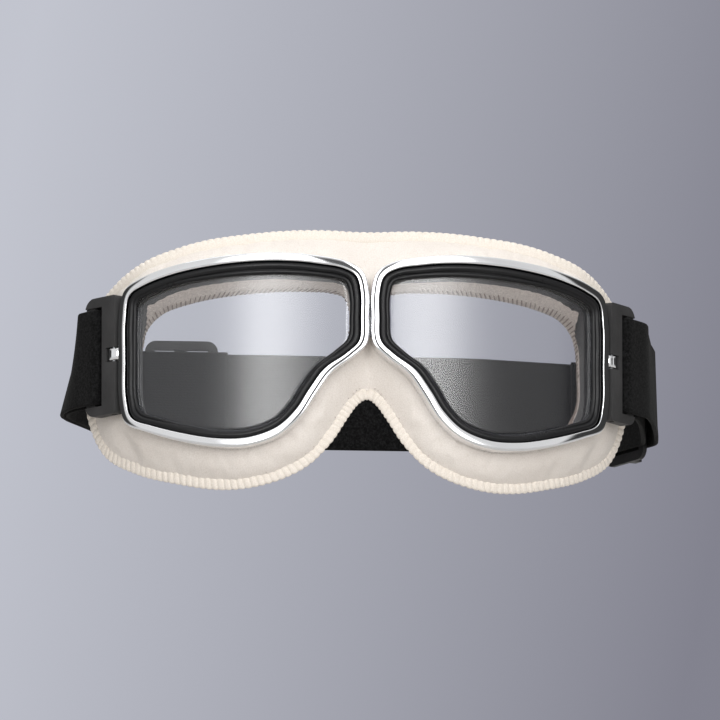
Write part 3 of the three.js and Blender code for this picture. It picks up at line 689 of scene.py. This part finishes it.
def pad_shell():
    """The whole pad as one closed shell: points, faces, fixed points, and where each grid is."""
    grids = dict(zip(("front", "rear", "wall"), pad_grids()))
    verts, faces, pinned, parts = [], [], [], []
    for sign in (1, -1):
        for tag, grid in grids.items():
            start = len(verts)
            rows, columns = grid.shape[:2]
            verts += list(sided(grid, sign).reshape(-1, 3))
            faces += grid_faces(rows, columns, True, False, start)
            for i in range(rows):
                for j in range(columns):
                    edge = j in (0, columns - 1)
                    free_centre = grid[i, j, 0] < 1e-6 and (0 < i < FIRST or i > LAST)
                    pinned.append(tag == "wall" or (edge and not free_centre))
            parts.append((tag, sign, start, rows, columns))
    strip = np.stack([cup_line, seat_line], axis=1)
    for sign in (1, -1):
        start = len(verts)
        verts += list(sided(strip, sign).reshape(-1, 3))
        faces += grid_faces(COUNT, 2, True, False, start)
        pinned += [True] * (2 * COUNT)
    return np.array(verts), faces, np.array(pinned), parts


SIM_SCALE = 4.0  # the small pad is simulated at this many times its size
SIM_FRAMES = 20
PUFF_CAP = 1.6  # mm, the most that a point may move
PAD_CLOTH = dict(
    quality=6, mass=0.3, tension_stiffness=25, compression_stiffness=25, shear_stiffness=8,
    bending_stiffness=1.0, vertex_group_mass="pin", use_pressure=True,
    uniform_pressure_force=6, shrink_min=-0.025,
)


def simulate_pad(verts, faces, pinned):
    """Welds the shell, blows it up a little with Cloth, and returns the moved points."""
    mesh = bpy.data.meshes.new("pad_cloth")
    mesh.from_pydata([tuple(v) for v in verts * MM * SIM_SCALE], [], faces)
    bm = bmesh.new()
    bm.from_mesh(mesh)
    origin = bm.verts.layers.int.new("origin")
    pins = bm.verts.layers.int.new("pin")
    for k, v in enumerate(bm.verts):
        v[origin] = k
        v[pins] = int(pinned[k])
    found = bmesh.ops.find_doubles(bm, verts=bm.verts, dist=1e-5)["targetmap"]
    target_of = {v[origin]: t[origin] for v, t in found.items()}
    for v, t in found.items():
        if v[pins]:
            t[pins] = 1
    bmesh.ops.weld_verts(bm, targetmap=found)
    thin = [f for f in bm.faces if f.calc_area() < 1e-9]
    bmesh.ops.delete(bm, geom=thin, context="FACES_ONLY")
    bmesh.ops.recalc_face_normals(bm, faces=bm.faces)
    origins = [v[origin] for v in bm.verts]
    pinned_now = [k for k, v in enumerate(bm.verts) if v[pins]]
    bm.to_mesh(mesh)
    bm.free()
    obj = placed("pad_cloth", mesh)
    rest = np.array([v.co for v in mesh.vertices])
    group = obj.vertex_groups.new(name="pin")
    group.add(pinned_now, 1.0, "REPLACE")
    cloth = obj.modifiers.new("cloth", "CLOTH")
    for key, value in PAD_CLOTH.items():
        setattr(cloth.settings, key, value)
    cloth.settings.effector_weights.gravity = 0
    cloth.collision_settings.use_collision = False
    cloth.point_cache.frame_start = 1
    cloth.point_cache.frame_end = 24
    scene = bpy.context.scene
    for step in range(1, SIM_FRAMES + 1):
        scene.frame_set(step)
    dg = bpy.context.evaluated_depsgraph_get()
    moved = np.array([v.co for v in obj.evaluated_get(dg).data.vertices])
    scene.frame_set(1)
    bpy.data.objects.remove(obj)
    shift = (moved - rest) / SIM_SCALE / MM
    length = np.linalg.norm(shift, axis=1, keepdims=True)
    shift = shift * np.minimum(1, PUFF_CAP / np.maximum(length, 1e-9))
    by_origin = dict(zip(origins, shift))
    return verts + [by_origin.get(target_of.get(k, k), np.zeros(3)) for k in range(len(verts))]


def make_mask():
    """The padded leather and the cups' lining; returns the front, rear and wall grids."""
    verts, faces, pinned, parts = pad_shell()
    verts = simulate_pad(verts, faces, pinned)
    grids = {(tag, sign): verts[s : s + r * c].reshape(r, c, 3) for tag, sign, s, r, c in parts}
    panel = panel_object("leather_front_panel", grids, "front")
    dress(panel, "leather", "mask_front_panel", "foam_core_left", "foam_core_right")
    rear = panel_object("leather_rear_panel", grids, "rear")
    dress(rear, "leather", "mask_rear_panel")
    for side, sign in SIDES:
        wall = grids[("wall", sign)]
        lining = grid_object(f"cup_lining_cloth_{side}", wall, True, False)
        thicken(lining, 0.6)
        dress(lining, "lining", f"cup_lining_{side}")
    return grids


# The front leather is evened out near the centre: (mm to each side, passes of smoothing).
CENTRE_PASSES = [(15, 10), (12, 20), (9, 40), (6, 60)]


def panel_object(name, grids, tag):
    """Both eyes' halves of one leather panel, welded at the centre and given thickness."""
    left = grid_object(name + "_a", grids[(tag, 1)], True, False)
    right = grid_object(name + "_b", grids[(tag, -1)], True, False)
    panel = join_objects(name, [left, right])
    with edited(panel.data) as bm:
        bmesh.ops.remove_doubles(bm, verts=bm.verts, dist=2e-5)
        thin = [f for f in bm.faces if f.calc_area() < 1e-10]
        bmesh.ops.delete(bm, geom=thin, context="FACES")
        for reach, passes in CENTRE_PASSES if tag == "front" else []:
            near = [v for v in bm.verts if abs(v.co.x) < reach * MM and not v.is_boundary]
            for _ in range(passes):
                bmesh.ops.smooth_vert(bm, verts=near, factor=0.5, use_axis_x=True,
                                      use_axis_y=True, use_axis_z=True)
        bmesh.ops.recalc_face_normals(bm, faces=bm.faces)
        towards = -1 if tag == "front" else 1
        facing = sum(f.normal.y * f.calc_area() for f in bm.faces)
        if facing * towards < 0:
            bmesh.ops.reverse_faces(bm, faces=bm.faces)
    thicken(panel, 0.8)
    return panel


def thicken(obj, thickness):
    """Gives a sheet its thickness and one subdivision."""
    solid = obj.modifiers.new("thickness", "SOLIDIFY")
    solid.thickness = thickness * MM
    solid.offset = -1
    apply_modifiers(obj)
    finer = obj.modifiers.new("finer", "SUBSURF")
    finer.levels = finer.render_levels = 1
    shade_smooth(apply_modifiers(obj))


# ---- stitching
def resampled(points, pitch, closed=False):
    """The fractional indices along a line of points at an even pitch."""
    p = np.vstack([points, points[:1]]) if closed else points
    lengths = travel(p)
    count = max(2, round(lengths[-1] / pitch))
    at = np.linspace(0, lengths[-1], count + (0 if closed else 1), endpoint=not closed)
    return np.interp(at, lengths, np.arange(len(p)))


def sample(line, index):
    """Points of a closed line at fractional indices."""
    low = np.floor(index).astype(int)
    t = (index - low)[:, None]
    return line[low % len(line)] * (1 - t) + line[(low + 1) % len(line)] * t


def tube_rows(path, radii, sides):
    """Rings of points round a path [steps, 3], one after another."""
    forward = unit(np.gradient(path, axis=0))
    guide = np.array([0.31, 0.77, 0.55])
    a = unit(np.cross(forward, guide))
    b = np.cross(forward, a)
    angles = np.linspace(0, 2 * math.pi, sides, endpoint=False)
    ring = np.cos(angles)[None, :, None] * a[:, None] + np.sin(angles)[None, :, None] * b[:, None]
    return path[:, None] + ring * np.asarray(radii)[:, None, None]


def add_tube(verts, faces, path, radii, sides=6):
    """Adds a tube with closed ends to the lists."""
    start, last = len(verts), len(verts) + (len(path) - 1) * sides
    verts.extend(tube_rows(path, radii, sides).reshape(-1, 3))
    faces.extend(grid_faces(len(path), sides, False, True, start))
    faces.append(tuple(range(start, start + sides)))
    faces.append(tuple(range(last, last + sides)))


def square_to(along, way):
    """Unit directions square to the unit directions along, and otherwise nearest to way."""
    return unit(way - along * np.sum(way * along, axis=1, keepdims=True))


def hem_frames(line, indices):
    """At each index: the point, the direction out of the pad, and the way along the line."""
    point = sample(line, indices)
    out = unit(point - sample(pad_middle, indices))
    along = unit(sample(line, indices + 0.5) - sample(line, indices - 0.5))
    return point, square_to(along, out), along


STITCH_PITCH = 2.5
STITCH_LEAN = 0.45  # how far each stitch leans from its inner to its outer end, in pitches
STITCH_RELIEF = 0.52  # depth of the valleys between stitches
STITCH_ROWS = 9  # rows of points to a stitch
HEM_HALF_THICKNESS = 1.05
HEM_REACH = 2.1  # half of the hem's width
HEM_PROUD = 0.2  # how far the stitches stand out of the outline
LOW_RIGHT_REACH = 0.5  # more half width, low down at the wearer's right
NOSE_CROWDING = 0.45  # how much closer the stitches stand in the nose cut


def hem_loop(step):
    """Points, outward and forward directions right round the mask's hem, at an even step."""
    indices = FIRST + resampled(outline[FIRST : LAST + 1], step)
    point, out, along = hem_frames(outline, indices)
    # Upright where the halves meet: at the apex, and little by little along the top.
    out[:, 0] *= np.where(point[:, 2] > 0, np.clip(point[:, 0] / 10, 0, 1), 1)
    out[-1, 0] = 0
    out = unit(out)
    along[[0, -1]] = (1, 0, 0), (-1, 0, 0)
    ahead = unit(np.cross(along, out))
    ahead *= np.where(ahead[:, 1] > 0, -1, 1)[:, None]
    return [np.vstack([half, mirror_x(half)[::-1][1:-1]]) for half in (point, out, ahead)]


def make_outer_whipstitch():
    """Plump stitches packed side by side round the edge where the leather panels meet."""
    point, out, ahead = hem_loop(STITCH_PITCH / STITCH_ROWS)
    x, _, z = point.T
    steps = np.linalg.norm(np.diff(point, axis=0, append=point[:1]), axis=1)
    beside_nose = np.exp(-((x / 10) ** 2) - ((z + 19) / 12) ** 2)  # 1 at the cut's apex
    crowding = steps / (1 - NOSE_CROWDING * beside_nose)
    count = round(crowding.sum() / STITCH_PITCH)
    turns = (np.cumsum(crowding) - crowding) / crowding.sum() * count
    low_right = np.clip((-z - 12) / 14, 0, 1) * np.clip(-x / 30, 0, 1)
    reach = HEM_REACH + LOW_RIGHT_REACH * low_right
    upper = np.clip((z + 12) / 26, 0, 1)  # where the ribs fade towards the leather
    rng = np.random.default_rng(7)
    plump = rng.uniform(0.7, 1.2, count + 2)
    angles = np.linspace(-math.pi, math.pi, 25)[:-1]
    across, proud = (np.sign(v) * np.abs(v) ** 0.75 for v in (np.cos(angles), np.sin(angles)))
    rows = []
    for i in range(len(point)):
        phase = turns[i] - STITCH_LEAN * angles / math.pi
        ridge = np.abs(np.sin(np.pi * phase)) ** 0.5
        fade = 1 - upper[i] * np.clip((0.85 - across) / 0.9, 0, 1)
        sunk = STITCH_RELIEF * fade * (1 - ridge) * plump[np.floor(phase).astype(int) % count]
        centre = point[i] + out[i] * (HEM_PROUD - reach[i])
        ring = (
            out[i] * (across * (reach[i] - sunk))[:, None]
            + ahead[i] * (proud * (HEM_HALF_THICKNESS - sunk))[:, None]
        )
        rows.append(centre + ring)
    welt = grid_object("whipstitched_hem", np.array(rows))
    dress(welt, "thread", "outer_whipstitch")


def make_needle_hole_shade(grids):
    """Small brownish plugs for the needle holes just inside the stitches along the nose cut:
    painted shade in the holes.
    """
    verts, faces = [], []
    indices = LAST - 5 - resampled(hem_line[LAST - 44 : LAST - 4], 3.4)
    rows = np.arange(COUNT)
    for _, sign in SIDES:
        front = grids[("front", sign)]
        width = np.linalg.norm(front[:, -1] - front[:, -2], axis=1)
        column = np.clip(FRONT_COLUMNS - 1 - 2.2 / width, 0, FRONT_COLUMNS - 1.001)
        low = np.floor(column).astype(int)
        share = (column - low)[:, None]
        beside_hem = front[rows, low] * (1 - share) + front[rows, low + 1] * share
        for place in sample(beside_hem, indices):
            # each plug of fleece colour stands in for a hole: painted shade
            path = np.array([place + (0, 0.5, 0), place - (0, 0.05, 0)])
            add_tube(verts, faces, path, [0.24, 0.24], 7)
    hole_shade = outward_faces(new_object("needle_hole_shade", np.array(verts), faces))
    dress(hole_shade, "thread", mat="fleece")


ROLL_BEHIND = 1.2  # from the cup's rear edge to the rear of the roll
ROLL_AHEAD = 6.6  # from the cup's rear edge towards the lens
ROLL_AHEAD_TOP = 14.0  # the same along the top, where the fleece is wider
ROLL_HEIGHT = 1.05
STITCH_AHEAD = 5.4  # how far the slanted stitches run towards the lens


def wall_frames(point, away, along, indices):
    """Unit directions along the cup's wall to the lens, and out of it into the opening."""
    to_lens = square_to(along, sample(cup_line, indices) - point)
    inward_way = np.cross(along, to_lens)
    inward_way *= np.sign(np.sum(inward_way * away, axis=1, keepdims=True))
    return to_lens, inward_way


def make_inner_rolls():
    """A fuzzy roll and dark slanted stitches where each cup's lining meets the rear panel."""
    rng = np.random.default_rng(11)
    indices = resampled(inner_line, 0.8, closed=True)
    point, out, along = hem_frames(inner_line, indices)
    to_lens, side_way = wall_frames(point, out, along, indices)
    angles = np.linspace(0, 2 * math.pi, 19)[:-1]
    top = np.clip((point[:, 2] - 2) / 9, 0, 1) * np.clip((86 - point[:, 0]) / 12, 0, 1)
    ahead = ROLL_AHEAD + (ROLL_AHEAD_TOP - ROLL_AHEAD) * top
    shift, reach = (ahead - ROLL_BEHIND) / 2, (ahead + ROLL_BEHIND) / 2
    for side, sign in SIDES:
        fuzz = rng.uniform(-0.07, 0.07, (len(point), len(angles)))
        uneven = 1 + 0.06 * np.sin(indices * 2.3)[:, None] + fuzz
        ring = (
            (to_lens * shift[:, None])[:, None]
            + to_lens[:, None] * (reach[:, None] * np.cos(angles))[..., None]
            + side_way[:, None] * (ROLL_HEIGHT * np.sin(angles) * uneven)[..., None]
        )
        roll = grid_object(f"fuzzy_roll_{side}", sided(point[:, None] + ring, sign))
        dress(roll, "thread", f"inner_stitched_roll_{side}", mat="fleece")
        verts, faces = [], []
        stitches = resampled(inner_line, 1.7, closed=True)
        at, away, onward = hem_frames(inner_line, stitches)
        lens_way, open_way = wall_frames(at, away, onward, stitches)
        shift_at, reach_at = (np.interp(stitches, indices, half) for half in (shift, reach))
        for k in range(len(stitches)):
            knots = []
            last_place = STITCH_AHEAD * rng.uniform(0.8, 1.1)
            for place in np.linspace(-0.4, last_place, 5):
                share = (place - shift_at[k]) / reach_at[k]
                height = ROLL_HEIGHT * math.sqrt(max(0, 1 - share**2)) + 0.12
                lean = onward[k] * (0.7 - 0.45 * place)
                knots.append(at[k] + lens_way[k] * place + open_way[k] * height + lean)
            path = spline(knots, 9)
            taper = np.array([0.4, 0.8, 1, 1, 1, 1, 1, 0.8, 0.4])
            add_tube(verts, faces, sided(path, sign), 0.27 * taper * rng.uniform(0.7, 1.2), 6)
        thread = outward_faces(new_object(f"inner_stitches_{side}", np.array(verts), faces))
        dress(thread, "thread", mat="inner_thread")


# ---- the strap
def rounded(start, corners, end, steps=8):
    """A path from start to end past corners (x, y, radius), each rounded off."""
    p = [np.array(q[:2], float) for q in (start, *corners, end)]
    path = [p[0]]
    for before, corner, after, radius in zip(p, p[1:], p[2:], [c[2] for c in corners]):
        back, ahead = unit(before - corner), unit(after - corner)
        half = math.acos(float(np.clip(back @ ahead, -1, 1))) / 2
        reach = radius / math.tan(half)
        first, last = corner + back * reach, corner + ahead * reach
        for k in range(steps + 1):
            t = k / steps
            path.append(first * (1 - t) ** 2 + corner * 2 * t * (1 - t) + last * t**2)
    path.append(p[-1])
    return np.array(path)


def evenly(path, step):
    lengths = travel(path)
    at = np.linspace(0, lengths[-1], max(2, round(lengths[-1] / step)) + 1)
    return np.stack([np.interp(at, lengths, path[:, k]) for k in range(path.shape[1])], axis=1)


def normals(path):
    """Unit directions square to a path in plan, at each of its points."""
    direction = unit(np.gradient(path, axis=0))
    return np.stack([direction[:, 1], -direction[:, 0]], axis=1)


def strap_route(corners, return_end, spread):
    """The band's middle in plan: from behind the head, round the bracket's bar, and back."""
    bar = HINGE + PLATE_DIRECTION * LOOP_CENTRE
    reach = rounded(bar, corners, (0, STRAP_REAR))
    past_end = np.nonzero(reach[:, 0] > return_end)[0][-1] + 1
    share = (reach[past_end - 1, 0] - return_end) / (reach[past_end - 1, 0] - reach[past_end, 0])
    end = reach[past_end - 1] * (1 - share) + reach[past_end] * share
    middle = np.vstack([reach[:past_end], end])
    reach, middle = evenly(reach, 1.5), evenly(middle, 1.5)
    outer, inner = (
        path + normals(path) * (way * np.interp(path[:, 1], *zip(*spread)))[:, None]
        for path, way in ((reach, 1), (middle, -1))
    )
    across, along = PLATE_OUTWARD * LAYER_OFFSET, PLATE_DIRECTION * LAYER_OFFSET
    angles = np.linspace(0, math.pi, 13)[1:-1]
    turn = [bar + across * math.cos(a) - along * math.sin(a) for a in angles]
    return np.vstack([outer[::-1], turn, inner]), len(outer) + len(turn) // 2


EDGE_POINTS = 5


def band_section():
    """The strap's section, rounded at the edges: (across its width, through its thickness)."""
    half = STRAP_THICKNESS / 2
    flat = STRAP_WIDTH / 2 - half
    across = np.linspace(-flat, flat, 12)
    section = [(w, half) for w in across]
    section += arc_points((flat, 0), half, half, 72, -72, EDGE_POINTS)
    section += [(w, -half) for w in across[::-1]]
    section += arc_points((-flat, 0), half, half, 252, 108, EDGE_POINTS)
    return np.array(section)


HEM_FOLD = 9.0  # length of the fold sewn back at each free end


def make_strap(side, sign, corners, return_end, spread, lean_at):
    """Half of the strap, from behind the head round its bracket's bar and back to a sewn fold."""
    route, turn = strap_route(corners, return_end, spread)
    normal = normals(route)
    across, through = band_section().T
    travelled = travel(route)
    folded = np.clip(travelled - (travelled[-1] - HEM_FOLD), 0, 1)
    lean = np.interp(route[:, 1], *zip(*lean_at))
    rows = []
    for i in range(len(route)):
        thickness = np.where((i > turn) & (through > 0), through * (1 + 0.9 * folded[i]), through)
        ripple = 0.25 * noise.noise(Vector((travelled[i] * 0.05, sign * 3.0, 1.0)))
        slack = np.clip((route[i, 1] - 45) / 15, 0, 1)
        x = route[i, 0] - normal[i, 0] * thickness - across / (STRAP_WIDTH / 2) * lean[i]
        y = route[i, 1] - normal[i, 1] * thickness
        rows.append(np.stack([sign * (x + ripple * slack), y - FACE_DEPTH, across], axis=1))
    strap = capped_object(f"elastic_strap_{side}", np.array(rows))
    nodes = f"strap_loop_{side}", f"strap_return_{side}", "strap_main"
    dress(strap, "elastic", *nodes, body=None)
    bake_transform(strap)


# ---- brackets and sliders
def refined(node, name, width, slot, body):
    """A copy of a CAD node with its flat faces merged and its edges rounded."""
    obj = placed(name, frame["nodes"][node].data.copy())
    with edited(obj.data) as bm:
        bmesh.ops.remove_doubles(bm, verts=bm.verts, dist=1e-6)
        bmesh.ops.dissolve_limit(bm, angle_limit=math.radians(2), verts=bm.verts, edges=bm.edges)
    bevel = obj.modifiers.new("edges", "BEVEL")
    bevel.width = width * MM
    bevel.segments = 3
    bevel.limit_method = "ANGLE"
    bevel.angle_limit = math.radians(28)
    bevel.use_clamp_overlap = True
    apply_modifiers(obj)
    dress(obj, slot, node, body=body)


def make_hardware():
    for side, _ in SIDES:
        refined(f"bracket_{side}", f"moulded_bracket_{side}", 0.5, "charcoal_plastic",
                f"bracket_arm_{side}")
        refined(f"slider_{side}", f"moulded_slider_{side}", 0.35, "slider_plastic",
                f"strap_slider_{side}")


def dress_cad():
    """Materials for the CAD nodes that stay as they are."""
    slots = {s["node"]: s["material_slot"] for s in frame["record"]["subparts"]}
    for node, obj in frame["nodes"].items():
        if not obj.hide_render:
            obj.data.materials.clear()
            obj.data.materials.append(MATERIALS[slots[node]])


# ---- stage, lights, camera
def make_stage():
    size, level = 9000, -1700
    corners = [(x * size, y * size, level) for x, y in ((-1, -1), (1, -1), (1, 1), (-1, 1))]
    floor = new_object("floor", corners, [(0, 1, 2, 3)], smooth_shading=False)
    floor.data.materials.append(material("pale_floor", (0.68, 0.66, 0.64), 0.8))


# Brightness of the studio round the front: (degrees to the wearer's left of ahead, level).
FRONT_LIGHTS = [
    (-120, 0.04), (-75, 0.04), (-67, 0.7), (-32, 0.75), (-26, 1.6), (-20, 8.0), (-14, 7.0),
    (-8, 3.0), (-4, 0.1), (6, 0.1), (9, 4.5), (14, 8.5), (20, 7.5), (29, 0.8), (34, 0.65),
    (58, 0.7), (64, 0.04), (120, 0.04),
]
BRIGHTEST = 10.0
SKY_LEVEL, SKY_RISE = 0.6, 0.2  # above and below the strips: level ahead, and how it rises
LOW_SIDE, HIGH_SIDE = (0.54, 0.555, 0.62), (0.225, 0.225, 0.272)  # the backdrop, side to side
BACKDROP_SPAN = (0.0336, 0.0686)  # the view direction's X, slanted, at the picture's two sides
BACKDROP_SLANT = 0.2


def make_world():
    """A plain backdrop as the camera sees it, and a soft studio as the object sees it."""
    world = bpy.data.worlds.new("studio")
    bpy.context.scene.world = world
    world.use_nodes = True
    n = Nodes(world, "Generated")
    maths = n.maths
    split = n.new("SeparateXYZ", {"Vector": n.place})
    x, y, z = (split.outputs[axis] for axis in "XYZ")

    widest = FRONT_LIGHTS[-1][0]
    azimuth = maths("MULTIPLY", maths("ARCTAN2", x, maths("MULTIPLY", y, -1.0)), 180 / math.pi)
    place = maths("ADD", maths("DIVIDE", azimuth, 2.0 * widest), 0.5, clamp=True)
    ramp = n.new("ValToRGB", {"Fac": place})
    ramp.color_ramp.interpolation = "EASE"
    elements = ramp.color_ramp.elements
    while len(elements) < len(FRONT_LIGHTS):
        elements.new(0.5)
    for element, (degrees, level) in zip(elements, FRONT_LIGHTS):
        element.position = degrees / (2 * widest) + 0.5
        element.color = (*[level / BRIGHTEST] * 3, 1)
    strips = maths("MULTIPLY", ramp.outputs["Color"], BRIGHTEST)
    above = maths("MULTIPLY", maths("ADD", z, 0.12), 8.0, clamp=True)
    below = maths("MULTIPLY", maths("SUBTRACT", 0.55, z), 6.0, clamp=True)
    band = maths("MULTIPLY", above, below)
    sky = maths("ADD", maths("MULTIPLY", z, SKY_RISE), SKY_LEVEL)
    sky = maths("MULTIPLY", sky, maths("SUBTRACT", 1.0, band))
    lit = maths("ADD", maths("MULTIPLY", strips, band), sky)
    white = n.new("CombineColor", dict.fromkeys(("Red", "Green", "Blue"), lit))
    studio = n.new("Background", {"Color": white.outputs["Color"]})

    slanted = maths("SUBTRACT", x, maths("MULTIPLY", z, BACKDROP_SLANT))
    across = n.range(slanted, *BACKDROP_SPAN)
    backdrop = n.tree.nodes["Background"]
    n.give(backdrop.inputs["Color"], n.ramp(across, 0, 1, LOW_SIDE, HIGH_SIDE))

    path = n.new("LightPath").outputs
    seen = maths("MAXIMUM", path["Is Camera Ray"], path["Is Transmission Ray"])
    n.mix(seen, studio.outputs["Background"], backdrop.outputs["Background"], "World Output")


def make_lights():
    """One broad, soft lamp above and in front, aimed at the goggles."""
    data = bpy.data.lights.new("overhead", "AREA")
    data.shape = "RECTANGLE"
    data.size, data.size_y = 1.5, 1.0
    data.energy = 3
    light = placed("overhead", data)
    light.location = (-0.15, -0.45, 1.3)
    light.rotation_mode = "QUATERNION"
    light.rotation_quaternion = (-light.location).to_track_quat("-Z", "Y")


AZIMUTH, ELEVATION = math.radians(-5), math.radians(-10)
DISTANCE = 8.0
VIEW_WIDTH = 0.257  # metres across the picture at the rims
OFF_CENTRE = (3.57, 6.43)  # mm from the picture's centre to the middle of the rims


def make_camera():
    back = Vector((
        math.sin(AZIMUTH) * math.cos(ELEVATION),
        -math.cos(AZIMUTH) * math.cos(ELEVATION),
        math.sin(ELEVATION),
    ))
    right = Vector((math.cos(AZIMUTH), math.sin(AZIMUTH), 0))
    up = back.cross(right)
    front_centre = Vector((0, -FACE_DEPTH, EYE_LIFT)) * MM
    target = front_centre - (right * OFF_CENTRE[0] + up * OFF_CENTRE[1]) * MM
    data = bpy.data.cameras.new("camera")
    data.sensor_width = 36
    data.lens = 36 * DISTANCE / VIEW_WIDTH
    data.clip_start, data.clip_end = 0.05, 50
    camera = placed("camera", data)
    camera.location = target + back * DISTANCE
    camera.rotation_mode = "QUATERNION"
    camera.rotation_quaternion = (-back).to_track_quat("-Z", "Y")
    bpy.context.scene.camera = camera
    bpy.context.scene.view_settings.view_transform = "Standard"


# ---- making it all
make_camera()
make_world()
make_lights()
make_stage()
make_rims()
make_gaskets()
make_lenses()
mask_grids = make_mask()
make_outer_whipstitch()
make_needle_hole_shade(mask_grids)
make_inner_rolls()
make_strap("left", 1, LEFT_CORNERS, LEFT_RETURN_END, LEFT_SPREAD, LEFT_LEAN)
make_strap("right", -1, RIGHT_CORNERS, RIGHT_RETURN_END, RIGHT_SPREAD, RIGHT_LEAN)
make_hardware()
dress_cad()
